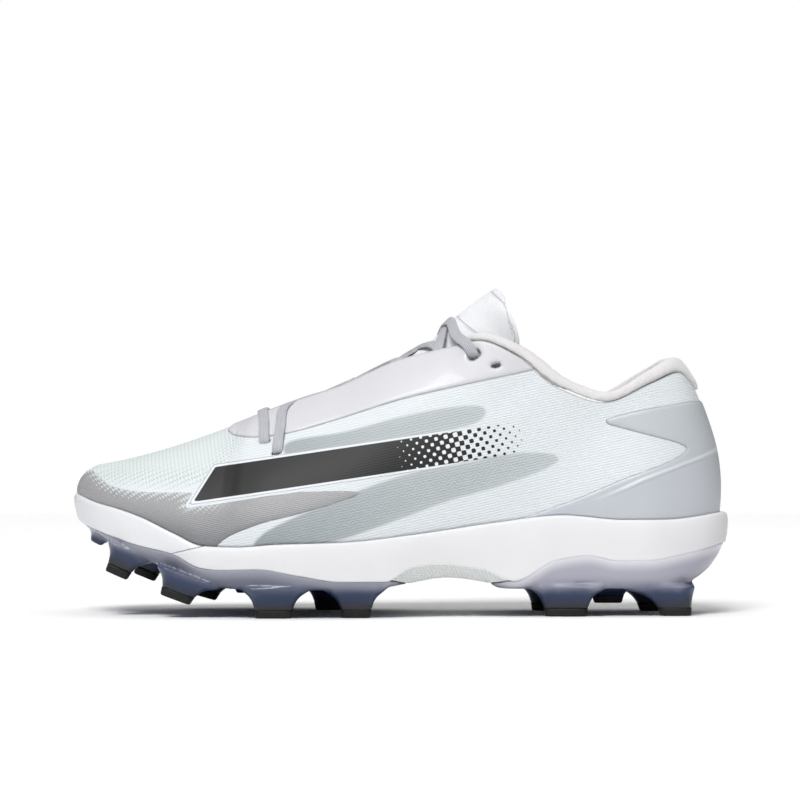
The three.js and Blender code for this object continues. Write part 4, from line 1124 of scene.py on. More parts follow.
def swollen(piece, cap, voxel=None):
    """Lets a pad's filling push the cover out, by cap millimetres at most."""
    if voxel:
        modified(piece, "REMESH", mode="VOXEL", voxel_size=voxel * MM, use_smooth_shade=True)
        edit(piece, (bpy.ops.mesh.vertices_smooth, {"factor": 0.5, "repeat": 6}))
    sewn = read_places(piece)
    cloth = piece.modifiers.new("Padding", "CLOTH")
    cloth.settings.use_pressure = True
    cloth.settings.uniform_pressure_force = PAD_PRESSURE
    cloth.settings.effector_weights.gravity = 0
    cloth.point_cache.frame_end = PAD_FRAMES
    for frame_number in range(1, PAD_FRAMES + 1):
        bpy.context.scene.frame_set(frame_number)
    bpy.ops.object.modifier_apply(modifier=cloth.name)
    bpy.context.scene.frame_set(1)
    moved = read_places(piece) - sewn
    reach = np.maximum(np.linalg.norm(moved, axis=1, keepdims=True), LEAST_RUN)
    print(piece.name, "swells by", round(float(reach.mean()), 2), "mm before the cap")
    write_places(piece, sewn + evened(piece, moved * np.minimum(1, cap / reach)))
    modified(piece, "SUBSURF", levels=1, render_levels=1)
    return count_faces(piece)


swollen(collar, voxel=1.1, cap=0.5)

# %% [markdown]
# ## The padded tongue
# The tongue lies under the throat's edges and stands free above them. Its face is a net
# of sections across the throat, made finer by splines both ways. Its back is the face
# moved in by the padding, which thins out towards the edges.

# %% The tongue's face and back
THROAT_SHARES = (0.74, 0.7, 0.66, 0.62, 0.58, 0.54, 0.5, 0.46)
TONGUE_THICKNESS = 5.0
TONGUE_LAP = 0.86
TONGUE_EDGE = 0.97
TONGUE_COLUMNS = 33
TONGUE_TURN = 1.35
TONGUE_SHIFT = 0.012
CROWN_WIDTH = 0.14 * BALL_WIDTH


def throat_middle(share):
    middle = (top_place(share) + top_place(2 - share)) / 2
    middle[..., 2] += CROWN_WIDTH * smooth(TONGUE_CROWN, "rise", share)
    return middle


def tongue_face():
    share = np.array(THROAT_SHARES)
    under = -UPPER_WALL - CLEARANCE * smooth(TONGUE_CROWN, "room", share)
    lap, edge = np.full(len(share), TONGUE_LAP), np.full(len(share), TONGUE_EDGE)
    across = spline(np.stack([
        on_last(share, lap, under), on_last(share, edge, under), throat_middle(share),
        on_last(2 - share, edge, under), on_last(2 - share, lap, under)]),
        steps=(TONGUE_COLUMNS - 1) // 4)
    free = []
    side = np.linspace(-1, 1, TONGUE_COLUMNS)
    for row in zip(*TONGUE_TOP.values()):
        middle_along, middle_up, edge_along, edge_up, half, _ = row
        bend = side**2
        arch = np.sin(side * TONGUE_TURN) / math.sin(TONGUE_TURN)
        free.append(np.column_stack([
            (middle_along + (edge_along - middle_along) * bend) * LENGTH,
            (TONGUE_SHIFT + half * arch) * BALL_WIDTH,
            upper_level(middle_up + (edge_up - middle_up) * bend)]))
    return np.concatenate([np.swapaxes(across, 0, 1), np.array(free)])


TONGUE_FINER = 7
EDGE_THINNING = 0.75
tongue_pads = np.concatenate([
    smooth(TONGUE_CROWN, "pad", np.array(THROAT_SHARES)), TONGUE_TOP["pad"]])
face = spline(tongue_face(), steps=TONGUE_FINER)
pads = spline(tongue_pads[:, None], steps=TONGUE_FINER)[:, 0]
face_across = np.gradient(face, axis=1)
face_along = np.gradient(face, axis=0)
face_inward = unit(np.cross(face_across, face_along))
from_middle = np.abs(np.linspace(-1, 1, TONGUE_COLUMNS))
thick = TONGUE_THICKNESS * pads[:, None] * (1 - EDGE_THINNING * from_middle**6)
back = face + face_inward * thick[..., None]
print("tongue net:", face.shape)

# %% The tongue, closed round its edges
SIDE_BULGE = 0.45
TIP_BULGE = 0.5
sides = [(face[:, k] + back[:, k]) / 2 + (face[:, k] - face[:, k + step]) * SIDE_BULGE
         for k, step in ((0, 1), (TONGUE_COLUMNS - 1, -1))]
tongue_net = np.concatenate([
    face, sides[1][:, None], back[:, ::-1], sides[0][:, None]], axis=1)
tip_middle = (face[-1] + back[-1]) / 2 + (face[-1] - face[-2]) * TIP_BULGE
tip_ring = np.concatenate([tip_middle, tip_middle[-1:], tip_middle[::-1], tip_middle[:1]])
tongue = lofted("tongue_padding", np.concatenate([tongue_net, tip_ring[None]]))
swollen(tongue, cap=0.7)

# %% Where the tongue's seams run
FREE_ROW = 52
NO_EDGE_SEAM = 99.0
across_steps = np.linalg.norm(np.diff(face, axis=1), axis=-1)
from_side = np.pad(np.cumsum(across_steps, axis=1), ((0, 0), (1, 0)))
from_side = np.minimum(from_side, from_side[:, -1:] - from_side)
down_steps = np.linalg.norm(np.diff(face, axis=0), axis=-1)[::-1]
from_tip = np.pad(np.cumsum(down_steps, axis=0), ((1, 0), (0, 0)))[::-1]
from_edge = np.minimum(from_side, from_tip)
from_edge[:FREE_ROW] = NO_EDGE_SEAM
net_tree = KDTree(face[..., 0].size)
for i, place in enumerate(face.reshape(-1, 3)):
    net_tree.insert(place, i)
net_tree.balance()
nearest = [net_tree.find(place)[1] for place in read_places(tongue)]
write_number(tongue, "from_edge", from_edge.ravel()[nearest])
write_number(tongue, "from_tip", from_tip.ravel()[nearest])

# %% [markdown]
# ## The lace
# A flat woven lace is a ribbon that twists as it goes. Its path is told in the throat's
# own terms: how far down the throat, how far across it, and how high over the surface.
# Past its edges the path runs down the outside of the shoe to an eyelet, or slips in
# between upper and tongue. The ribbon's face turns with the surface that it lies on.

# %% Places over the throat
LACE_WIDTH = 4.9
LACE_THICKNESS = 1.25
LACE_CROWN = table("at rise", [
    (0.42, 1.0), (0.45, 0.46), (0.475, 0.16), (0.5, 0.02), (0.58, -0.08), (0.66, -0.1),
    (0.7, -0.1)])


def throat_place(share, across, lift):
    """A place over the throat: across is -1 at its outer edge and 1 at its inner one."""
    if abs(across) > 1:
        loop = share if across < 0 else 2 - share
        return on_last(np.array([loop]), np.array([2 - abs(across)]), lift)[0]
    outer, inner = top_place(np.array([share]))[0], top_place(np.array([2 - share]))[0]
    place = outer + (inner - outer) * (across + 1) / 2
    crown = CROWN_WIDTH * float(smooth(LACE_CROWN, "rise", share))
    place[2] += crown * (1 - across**2) + lift
    return place


def on_side(x, z):
    """Share and across of the place that is seen at x, z from the outer side."""
    outer = map_places[:MAP_COLUMNS // 2 + 1]
    away = np.hypot(outer[..., 0] - x, outer[..., 2] - z)
    i, j = np.unravel_index(np.argmin(away), away.shape)
    return MAP_LOOP[i], MAP_RISE[j] - 2


# %% A ribbon along a path
LACE_SECTION = np.array([
    (0.5, 0), (0.47, 0.3), (0.36, 0.47), (0.18, 0.5), (0, 0.5), (-0.18, 0.5), (-0.36, 0.47),
    (-0.47, 0.3), (-0.5, 0), (-0.47, -0.3), (-0.36, -0.47), (-0.18, -0.5), (0, -0.5),
    (0.18, -0.5), (0.36, -0.47), (0.47, -0.3)])


LACE_STEPS = 8


def ribbon(name, stations):
    """A flat lace through stations of (share, across, lift)."""
    stations = np.array(stations, dtype=float)
    centre = spline(np.array([throat_place(*row) for row in stations]), steps=LACE_STEPS)
    reach = 0.012
    towards_heel = np.array([
        throat_place(share - reach, across, lift) - throat_place(share + reach, across, lift)
        for share, across, lift in stations])
    lengthwise = unit(spline(towards_heel, steps=LACE_STEPS))
    along = unit(np.gradient(centre, axis=0))
    facing = unit(np.cross(along, lengthwise))
    # The face stays on its side where the path turns back on itself.
    turned = np.where(np.sum(facing[1:] * facing[:-1], axis=1) < 0, -1, 1)
    facing[1:] *= np.cumprod(turned)[:, None]
    wide = np.cross(facing, along)
    rings = centre[:, None] + wide[:, None] * LACE_SECTION[:, :1] * LACE_WIDTH
    rings = rings + facing[:, None] * LACE_SECTION[:, 1:] * LACE_THICKNESS
    return lofted(name, rings, uv="lace")


def mirrored(stations, lift=0.0):
    """The same path from the other side, a little higher where the two cross."""
    return [(share, -across, height + lift * max(0, 1 - abs(across)))
            for share, across, height in stations]


# %% The lace's runs
HOLE_A, HOLE_B, HOLE_TOP = on_side(-60.6, 79.2), on_side(-55.6, 74.0), on_side(33.4, 117.9)
UNDER_EDGE = 1.06
TUCKED = -2.4
IN_HOLE = -2.6


def crossing(start, end):
    """A run from under one edge of the throat to under the other, further up."""
    middle = (start + end) / 2
    early, late = start * 0.8 + middle * 0.2, end * 0.8 + middle * 0.2
    return [(start, -UNDER_EDGE, TUCKED), (start, -0.97, 0.1), (early, -0.8, 0.9),
            (middle, 0, 0.5), (late, 0.8, 0.9), (end, 0.97, 0.1), (end, UNDER_EDGE, TUCKED)]


toe_bar = [(*HOLE_A, IN_HOLE), (*HOLE_A, 0.6), (*on_side(-61.5, 86), 1.5), (0.69, -1, 1.8),
           (0.69, 0, 1.3), (0.69, 1, 1.8)]
toe_bar += [(share, -across, lift) for share, across, lift in toe_bar[2::-1]]
first_cross = [(*HOLE_B, IN_HOLE), (*HOLE_B, 0.6), (*on_side(-54.6, 84), 1.6),
               (*on_side(-51.5, 93), 1.5), (0.634, -0.7, 0.9), (0.6, 0, 0.4), (0.57, 0.8, 1.0),
               (0.563, 0.97, 0.3), (0.563, UNDER_EDGE, TUCKED)]
top_share, top_across = HOLE_TOP[0], -HOLE_TOP[1]
top_cross = [(0.45, -UNDER_EDGE, TUCKED), (0.45, -0.97, 0.3), (0.447, -0.75, 1.4),
             (0.44, 0, 1.4), (0.433, 0.45, 2.2), (0.426, 0.93, 3.2),
             (top_share + 0.008, top_across - 0.05, 2.2), (top_share + 0.002, top_across, 0.9),
             (top_share, top_across + 0.01, TUCKED)]
lace_runs = [toe_bar, first_cross, mirrored(first_cross, 1.2)]
for start, end in ((0.563, 0.503), (0.503, 0.45)):
    run = crossing(start, end)
    lace_runs += [run, mirrored(run, 1.2)]
lace_runs += [top_cross, mirrored(top_cross, 1.4)]
lace = joined([ribbon(f"lace_run_{i}", run) for i, run in enumerate(lace_runs)], "lace_webbing")
count_faces(lace)

# %% [markdown]
# ## Materials: colours and nodes
# A hex colour is an sRGB value, but a shader works in linear light, so one function
# turns it. Another adds a node, sets it and links it, which keeps a recipe as short as
# it is told: every line below is one step of a pattern.

# %% Two helpers for every material
def linear(code):
    """An sRGB hex colour as linear light."""
    values = [int(code[i:i + 2], 16) / 255 for i in (1, 3, 5)]
    return tuple(v / 12.92 if v <= 0.04045 else ((v + 0.055) / 1.055) ** 2.4 for v in values) + (1,)


def add_node(material, kind, inputs=(), output=0, **settings):
    """Adds a node with its settings and links, and returns one of its outputs."""
    tree = material.node_tree
    node = tree.nodes.new("ShaderNode" + kind)
    for name, value in settings.items():
        setattr(node, name, value)
    for name, value in dict(inputs).items():
        if isinstance(value, bpy.types.NodeSocket):
            tree.links.new(value, node.inputs[name])
        else:
            node.inputs[name].default_value = value
    return node.outputs[output]


def new_material(name, colour, roughness, **sockets):
    """A principled material; sockets are named with _ for a space."""
    material = bpy.data.materials.new(name)
    material.use_nodes = True
    shader = material.node_tree.nodes["Principled BSDF"]
    shader.inputs["Base Color"].default_value = linear(colour)
    shader.inputs["Roughness"].default_value = roughness
    for socket, value in sockets.items():
        shader.inputs[socket.replace("_", " ")].default_value = value
    return material


def finish_material(material, colour, height, depth, roughness=None):
    """Links colour, roughness and a bump, whose depth is in millimetres."""
    shader = material.node_tree.nodes["Principled BSDF"]
    links = material.node_tree.links
    links.new(colour, shader.inputs["Base Color"])
    if roughness:
        links.new(roughness, shader.inputs["Roughness"])
    normal = add_node(material, "Bump", {"Height": height, "Distance": depth * MM})
    links.new(normal, shader.inputs["Normal"])
    print(material.name, "has", len(material.node_tree.nodes), "nodes")
    return material


MIX_A, MIX_B, MIX_COLOUR = 6, 7, 2
TURN = 2 * math.pi


# %% [markdown]
# ## Knit: polyester jacquard
# The upper is knitted in ridges about a millimetre apart, which run up towards the heel.
# Two long streaks are dyed darker. Over the forefoot the knit opens into a mesh with
# upright columns. Patterns are waves of the UV maps, and the zones' distances in
# millimetres decide where each one shows.
# Grooves, slits and openings are painted darker: painted shade in them.

# %% A lattice, which comes back in several patterns
def lattice(m, along, across, column, row):
    """Two waves that cross, one times the other, with their lengths in millimetres."""
    waves = []
    for value, length in ((along, column), (across, row)):
        turns = add_node(m, "Math", {0: value, 1: TURN / length}, operation="MULTIPLY")
        waves.append(add_node(m, "Math", {0: turns}, operation="COSINE"))
    return add_node(m, "Math", {0: waves[0], 1: waves[1]}, operation="MULTIPLY")


# %% Knit: ridges, slits and openings
RIDGE = 1.15
STITCH = 1.3
CHEVRON = 2.6
SLIT = 1.9
MESH_COLUMN = 2.6
MESH_ROW = 2.5
FINE_COLUMN = 1.75


def knit_ridges(m, ribs, along, across):
    """Ridges of the knit, which wander a little, and the stitches along each."""
    drift = add_node(m, "TexNoise", {"Vector": ribs, "Scale": 0.05, "Detail": 1})
    wander = add_node(m, "Math", {0: drift, 1: 2.0}, operation="MULTIPLY")
    turns = add_node(m, "Math", {0: across, 1: TURN / RIDGE, 2: wander}, operation="MULTIPLY_ADD")
    stitch_turns = add_node(m, "Math", {0: along, 1: TURN / STITCH}, operation="MULTIPLY")
    shifted = add_node(m, "Math", {0: turns, 1: 0.5, 2: stitch_turns}, operation="MULTIPLY_ADD")
    ridge = add_node(m, "Math", {0: turns}, operation="SINE")
    return ridge, add_node(m, "Math", {0: shifted}, operation="SINE")


def streak_slits(m, streaks, along, across):
    """Chevron slits in the core of each streak."""
    core = add_node(m, "MapRange", {0: streaks, 1: 1.0, 2: 6.0}, interpolation_type="SMOOTHSTEP")
    fold = add_node(m, "Math", {0: along, 1: CHEVRON}, operation="PINGPONG")
    slant = add_node(m, "Math", {0: fold, 1: 0.9, 2: across}, operation="MULTIPLY_ADD")
    turns = add_node(m, "Math", {0: slant, 1: TURN / SLIT}, operation="MULTIPLY")
    wave = add_node(m, "Math", {0: turns}, operation="SINE")
    slits = add_node(m, "MapRange", {0: wave, 1: 0.45, 2: 0.95})
    return add_node(m, "Math", {0: slits, 1: core}, operation="MULTIPLY")


def mesh_openings(m, zone, meshed, along, girth):
    """Openings on a lattice, wider near the toe guard."""
    bumps = lattice(m, along, girth, MESH_COLUMN, MESH_ROW)
    near_guard = add_node(m, "MapRange", {0: zone, 1: 16.0, 2: 1.0, 3: 0.0, 4: 1.0})
    least = add_node(m, "MapRange", {0: near_guard, 3: 1.05, 4: 0.3})
    most = add_node(m, "Math", {0: least, 1: 0.3}, operation="ADD")
    hole = add_node(m, "MapRange", {0: bumps, 1: least, 2: most}, interpolation_type="SMOOTHSTEP")
    return add_node(m, "Math", {0: hole, 1: meshed}, operation="MULTIPLY")


def fine_columns(m, meshed, along):
    """Upright columns between the openings."""
    turns = add_node(m, "Math", {0: along, 1: TURN / FINE_COLUMN}, operation="MULTIPLY")
    fine = add_node(m, "Math", {0: turns}, operation="COSINE")
    groove = add_node(m, "MapRange", {0: fine, 1: -0.1, 2: -0.9})
    return add_node(m, "Math", {0: groove, 1: meshed}, operation="MULTIPLY")


# %% Knit: colours of cloth, streaks and print
DOT = 4.4


def cloth_colour(m, groove, meshed, fine, hole):
    not_meshed = add_node(m, "MapRange", {0: meshed, 3: 0.34, 4: 0.08})
    line = add_node(m, "Math", {0: groove, 1: not_meshed}, operation="MULTIPLY")
    column = add_node(m, "Math", {0: fine, 1: 0.4}, operation="MULTIPLY")
    # Grooves between the ridges and the mesh's openings are painted darker: painted shade in them.
    colour = linear("#dce1e4")
    for share, tone in ((line, "#b9c2c6"), (meshed, "#d8dfdf"), (column, "#b3bebf"),
                        (hole, "#aab6b7")):
        colour = add_node(m, "Mix", {0: share, MIX_A: colour, MIX_B: linear(tone)},
                          MIX_COLOUR, data_type="RGBA")
    return colour


def streak_colour(m, groove, slits, along):
    line = add_node(m, "Math", {0: groove, 1: 0.5}, operation="MULTIPLY")
    far = add_node(m, "MapRange", {0: along, 1: 20.0, 2: -60.0, 3: 0.0, 4: 0.8})
    faint_slits = add_node(m, "Math", {0: slits, 1: 0.45}, operation="MULTIPLY")
    # Grooves and slits in the streaks are painted darker: painted shade in them.
    colour = linear("#b3babc")
    for share, tone in ((line, "#868f94"), (far, "#90979c"), (faint_slits, "#8a9599")):
        colour = add_node(m, "Mix", {0: share, MIX_A: colour, MIX_B: linear(tone)},
                          MIX_COLOUR, data_type="RGBA")
    return colour


def print_layers(m, along, across):
    """A frame, its hairline, and black that breaks up into dots towards the heel."""
    band = add_node(m, "Attribute", output=2, attribute_name="print_zone")
    framed = add_node(m, "MapRange", {0: band, 1: -0.25, 2: 0.05})
    inked = add_node(m, "MapRange", {0: band, 1: 1.0, 2: 1.25})
    dots = lattice(m, along, across, DOT, DOT)
    fade = add_node(m, "MapRange", {0: along, 1: 12.0, 2: 76.0, 3: -1.15, 4: 1.05})
    ink_edge = add_node(m, "Math", {0: fade, 1: 0.12}, operation="ADD")
    ink = add_node(m, "MapRange", {0: dots, 1: fade, 2: ink_edge})
    ink = add_node(m, "Math", {0: ink, 1: inked}, operation="MULTIPLY")
    hairline = add_node(m, "MapRange", {0: band, 1: 0.35, 2: 0.05})
    hairline = add_node(m, "Math", {0: hairline, 1: framed}, operation="MULTIPLY")
    keyed = add_node(m, "MapRange", {0: along, 1: 55.0, 2: 30.0})
    framed = add_node(m, "Math", {0: framed, 1: keyed}, operation="MULTIPLY")
    hairline = add_node(m, "Math", {0: hairline, 1: keyed}, operation="MULTIPLY")
    return framed, hairline, ink


# %% Knit: the whole recipe
def knit_material():
    m = new_material("jacquard_knit_polyester", "#e9eeef", 0.62, Sheen_Weight=0.06)
    ribs = add_node(m, "UVMap", uv_map="ribs")
    cloth = add_node(m, "UVMap", uv_map="cloth")
    along = add_node(m, "SeparateXYZ", {0: ribs})
    across = add_node(m, "SeparateXYZ", {0: ribs}, output=1)
    girth = add_node(m, "SeparateXYZ", {0: cloth}, output=1)
    ridge, stitch = knit_ridges(m, ribs, along, across)
    rib = add_node(m, "MapRange", {0: ridge, 1: -1.0, 2: 1.0})
    groove = add_node(m, "MapRange", {0: ridge, 1: -0.2, 2: -0.95}, interpolation_type="SMOOTHSTEP")
    # The dyed streaks.
    upper = add_node(m, "Attribute", output=2, attribute_name="upper_streak")
    lower = add_node(m, "Attribute", output=2, attribute_name="lower_streak")
    streaks = add_node(m, "Math", {0: upper, 1: lower}, operation="MAXIMUM")
    dyed = add_node(m, "MapRange", {0: streaks, 1: -0.4, 2: 1.4}, interpolation_type="SMOOTHSTEP")
    shade = add_node(m, "MapRange", {0: along, 1: 76.0, 2: -20.0, 3: 0.75, 4: 1.0})
    depth = add_node(m, "Math", {0: dyed, 1: shade}, operation="MULTIPLY")
    slits = streak_slits(m, streaks, along, across)
    # The mesh of the forefoot.
    zone = add_node(m, "Attribute", output=2, attribute_name="mesh_zone")
    meshed = add_node(m, "MapRange", {0: zone, 1: -1.0, 2: 7.0}, interpolation_type="SMOOTHSTEP")
    hole = mesh_openings(m, zone, meshed, along, girth)
    fine = fine_columns(m, meshed, along)
    # Colours, from the plain knit up to the print and a grey line along the top: a seam, with
    # painted shade under the collar roll.
    plain = cloth_colour(m, groove, meshed, fine, hole)
    streak = streak_colour(m, groove, slits, along)
    colour = add_node(m, "Mix", {0: depth, MIX_A: plain, MIX_B: streak},
                      MIX_COLOUR, data_type="RGBA")
    framed, hairline, ink = print_layers(m, along, across)
    # A seam, with painted shade, just under the collar roll.
    edge = add_node(m, "Attribute", output=2, attribute_name="from_top")
    seam_and_shade = add_node(m, "MapRange", {0: edge, 1: 0.8, 2: 0.3, 3: 0.0, 4: 0.8})
    for share, tone in ((framed, "#e4e7ec"), (hairline, "#9aa0a8"), (ink, "#0e0f11"),
                        (seam_and_shade, "#a9acaf")):
        colour = add_node(m, "Mix", {0: share, MIX_A: colour, MIX_B: linear(tone)},
                          MIX_COLOUR, data_type="RGBA")
    # The relief, pressed flat where the ink lies.
    height = add_node(m, "Math", {0: stitch, 1: 0.06, 2: rib}, operation="MULTIPLY_ADD")
    height = add_node(m, "Math", {0: hole, 1: -1.2, 2: height}, operation="MULTIPLY_ADD")
    height = add_node(m, "Math", {0: slits, 1: -0.6, 2: height}, operation="MULTIPLY_ADD")
    flat = add_node(m, "MapRange", {0: ink, 3: 1.0, 4: 0.35})
    height = add_node(m, "Math", {0: height, 1: flat}, operation="MULTIPLY")
    rough = add_node(m, "MapRange", {0: ink, 3: 0.62, 4: 0.58})
    return finish_material(m, colour, height, 0.09, rough)


knit_cloth = knit_material()

# %% [markdown]
# The inner side of the sock is a plain soft lining. It only shows through the collar, so
# a fine cross weave is enough.


# %% Lining and other soft cloth
def soft_cloth(name, colour, shadow, thread, seams=()):
    """Brushed or knitted cloth in Object coordinates, with sewn seams at some distances."""
    m = new_material(name, colour, 0.9, Sheen_Weight=0.3)
    place = add_node(m, "TexCoord", output=3)
    millimetres = add_node(m, "Mapping", {0: place, 3: (1 / MM, 1 / MM, 1 / MM)})
    cells = add_node(m, "TexVoronoi", {"Vector": millimetres, "Scale": 1 / thread})
    cloud = add_node(m, "TexNoise", {"Vector": millimetres, "Scale": 0.12, "Detail": 3})
    dark = add_node(m, "MapRange", {0: cells, 1: 0.25, 2: 0.8, 3: 0.0, 4: 0.55})
    mix = add_node(m, "Mix", {0: dark, MIX_A: linear(colour), MIX_B: linear(shadow)},
                   MIX_COLOUR, data_type="RGBA")
    soft = add_node(m, "MapRange", {0: cloud, 1: 0.35, 2: 0.7, 3: 0.0, 4: 0.3})
    mix = add_node(m, "Mix", {0: soft, MIX_A: mix, MIX_B: linear(shadow)},
                   MIX_COLOUR, data_type="RGBA")
    height = add_node(m, "Math", {0: cells, 1: -1.0, 2: 1.0}, operation="MULTIPLY_ADD")
    for number, distance in seams:
        value = add_node(m, "Attribute", output=2, attribute_name=number)
        off = add_node(m, "Math", {0: value, 1: distance}, operation="SUBTRACT")
        away = add_node(m, "Math", {0: off}, operation="ABSOLUTE")
        line = add_node(m, "MapRange", {0: away, 1: 0.7, 2: 0.15}, interpolation_type="SMOOTHSTEP")
        faint = add_node(m, "Math", {0: line, 1: 0.5}, operation="MULTIPLY")
        mix = add_node(m, "Mix", {0: faint, MIX_A: mix, MIX_B: linear("#b4b6bb")},
                       MIX_COLOUR, data_type="RGBA")
        height = add_node(m, "Math", {0: line, 1: -6.0, 2: height}, operation="MULTIPLY_ADD")
    return finish_material(m, mix, height, 0.05)


lining_cloth = soft_cloth("brushed_polyester_lining", "#dcdfe1", "#c3c8cc", thread=0.9)
collar_cloth = soft_cloth("brushed_collar_cloth", "#e0dede", "#d5d3d3", thread=0.6)
tongue_cloth = soft_cloth("air_mesh_tongue_cloth", "#eeeff1", "#e2e4e8", thread=1.0,
                          seams=(("from_edge", 2.7), ("from_tip", 22.0), ("from_tip", 27.0)))
insole_cloth = soft_cloth("insole_top_cloth", "#d5d8db", "#b4b9bf", thread=0.8)

# %% [markdown]
# ## Films: eyestay, toe guard, heel counter
# All three are TPU films, pressed hot, so they are smooth with a low gloss. The eyestay
# is plain, with painted shade in a fine line along its edge. The toe guard is tinted grey,
# with painted shade that darkens it towards the sole; it has a fine hatch, and its upper
# edge breaks up into the openings of the mesh. The heel counter has painted shade along its
# edge and a painted highlight along its ridge.


# %% Eyestay film
def eyestay_material():
    m = new_material("pressed_tpu_film_white", "#e8e8eb", 0.42, Coat_Weight=0.1)
    edge = add_node(m, "Attribute", output=2, attribute_name="from_edge")
    # A darker line just inside the edge: painted shade on the film's rounded edge.
    line = add_node(m, "MapRange", {0: edge, 1: 0.7, 2: 0.3, 3: 0.0, 4: 0.65})
    ribs = add_node(m, "UVMap", uv_map="ribs")
    cloud = add_node(m, "TexNoise", {"Vector": ribs, "Scale": 0.9, "Detail": 4})
    colour = add_node(m, "Mix", {0: line, MIX_A: linear("#d1d1d5"), MIX_B: linear("#a4a6ab")},
                      MIX_COLOUR, data_type="RGBA")
    rough = add_node(m, "MapRange", {0: cloud, 3: 0.36, 4: 0.55})
    return finish_material(m, colour, cloud, 0.05, rough)


eyestay_tpu = eyestay_material()


# %% Toe guard film
def toe_guard_material():
    m = new_material("pressed_tpu_film_grey", "#a9a9ab", 0.45)
    place = add_node(m, "TexCoord", output=3)
    up = add_node(m, "SeparateXYZ", {0: place}, output=2)
    ribs = add_node(m, "UVMap", uv_map="ribs")
    cloth = add_node(m, "UVMap", uv_map="cloth")
    along = add_node(m, "SeparateXYZ", {0: ribs})
    across = add_node(m, "SeparateXYZ", {0: ribs}, output=1)
    girth = add_node(m, "SeparateXYZ", {0: cloth}, output=1)
    edge = add_node(m, "Attribute", output=2, attribute_name="from_edge")
    # Darker towards the sole: painted shade on the guard's lower part.
    low = add_node(m, "MapRange", {0: up, 1: 54 * MM, 2: 34 * MM}, interpolation_type="SMOOTHSTEP")
    colour = add_node(m, "Mix", {0: low, MIX_A: linear("#a1a1a3"), MIX_B: linear("#7f8083")},
                      MIX_COLOUR, data_type="RGBA")
    # Fine hatch, 1 mm apart, drawn a little coarser than the real one.
    slant = add_node(m, "Math", {0: along, 1: 0.45, 2: across}, operation="MULTIPLY_ADD")
    turns = add_node(m, "Math", {0: slant, 1: TURN / 1.0}, operation="MULTIPLY")
    hatch = add_node(m, "Math", {0: turns}, operation="SINE")
    faint = add_node(m, "MapRange", {0: hatch, 1: 0.0, 2: 1.0, 3: 0.0, 4: 0.16})
    colour = add_node(m, "Mix", {0: faint, MIX_A: colour, MIX_B: linear("#7d7f83")},
                      MIX_COLOUR, data_type="RGBA")
    # Openings along the upper edge, on the same lattice as the mesh.
    bumps = lattice(m, along, girth, MESH_COLUMN, MESH_ROW)
    forefoot = add_node(m, "MapRange", {0: along, 1: -62.0, 2: -75.0})
    above = add_node(m, "MapRange", {0: up, 1: 46 * MM, 2: 50 * MM})
    shown = add_node(m, "Math", {0: forefoot, 1: above}, operation="MULTIPLY")
    least = add_node(m, "MapRange", {0: edge, 1: 0.0, 2: 5.0, 3: -0.5, 4: 1.05})
    most = add_node(m, "Math", {0: least, 1: 0.2}, operation="ADD")
    opening = add_node(m, "MapRange", {0: bumps, 1: least, 2: most})
    opening = add_node(m, "Math", {0: opening, 1: shown}, operation="MULTIPLY")
    colour = add_node(m, "Mix", {0: opening, MIX_A: colour, MIX_B: linear("#c9cece")},
                      MIX_COLOUR, data_type="RGBA")
    height = add_node(m, "Math", {0: opening, 1: -2.0, 2: hatch}, operation="MULTIPLY_ADD")
    return finish_material(m, colour, height, 0.05)


toe_guard_tpu = toe_guard_material()


# %% Heel counter film
def heel_counter_material():
    m = new_material("moulded_tpu_heel_film", "#c2c8cd", 0.4, Coat_Weight=0.08)
    place = add_node(m, "TexCoord", output=3)
    up = add_node(m, "SeparateXYZ", {0: place}, output=2)
    edge = add_node(m, "Attribute", output=2, attribute_name="from_edge")
    ridge = add_node(m, "Attribute", output=2, attribute_name="from_ridge")
    high = add_node(m, "MapRange", {0: up, 1: 52 * MM, 2: 92 * MM}, interpolation_type="SMOOTHSTEP")
    colour = add_node(m, "Mix", {0: high, MIX_A: linear("#bec2c9"), MIX_B: linear("#bdc2c6")},
                      MIX_COLOUR, data_type="RGBA")
    # A darker line just inside the edge: painted shade along the raised film's edge.
    line = add_node(m, "MapRange", {0: edge, 1: 0.8, 2: 0.3, 3: 0.0, 4: 0.6})
    colour = add_node(m, "Mix", {0: line, MIX_A: colour, MIX_B: linear("#8f979c")},
                      MIX_COLOUR, data_type="RGBA")
    # Along the ridge: a raised crest in the bump, with a painted highlight on it.
    from_line = add_node(m, "Math", {0: ridge}, operation="ABSOLUTE")
    crest = add_node(m, "MapRange", {0: from_line, 1: 1.5, 2: 0.0},
                     interpolation_type="SMOOTHSTEP")
    along = add_node(m, "SeparateXYZ", {0: place})
    shown = add_node(m, "MapRange", {0: along, 1: 84 * MM, 2: 104 * MM})
    crest = add_node(m, "Math", {0: crest, 1: shown}, operation="MULTIPLY")
    light = add_node(m, "Math", {0: crest, 1: 0.6}, operation="MULTIPLY")
    colour = add_node(m, "Mix", {0: light, MIX_A: colour, MIX_B: linear("#dfe4e8")},
                      MIX_COLOUR, data_type="RGBA")
    cloud = add_node(m, "TexNoise", {"Vector": place, "Scale": 900, "Detail": 4})
    height = add_node(m, "Math", {0: cloud, 1: 0.12, 2: crest}, operation="MULTIPLY_ADD")
    rough = add_node(m, "MapRange", {0: cloud, 3: 0.33, 4: 0.5})
    return finish_material(m, colour, height, 0.5, rough)


heel_counter_tpu = heel_counter_material()

# %% [markdown]
# ## Sole: foam, wrap, arch insert, plates and stud tips
# The midsole is moulded foam with a closed matt skin. The wrap is a harder moulding with
# more gloss. The plates are translucent TPU: thin places let the white foam through and
# look lavender, thick studs gather colour and look dark blue. That is told here by the
# distance under the tread, which is how much plastic the eye looks into.


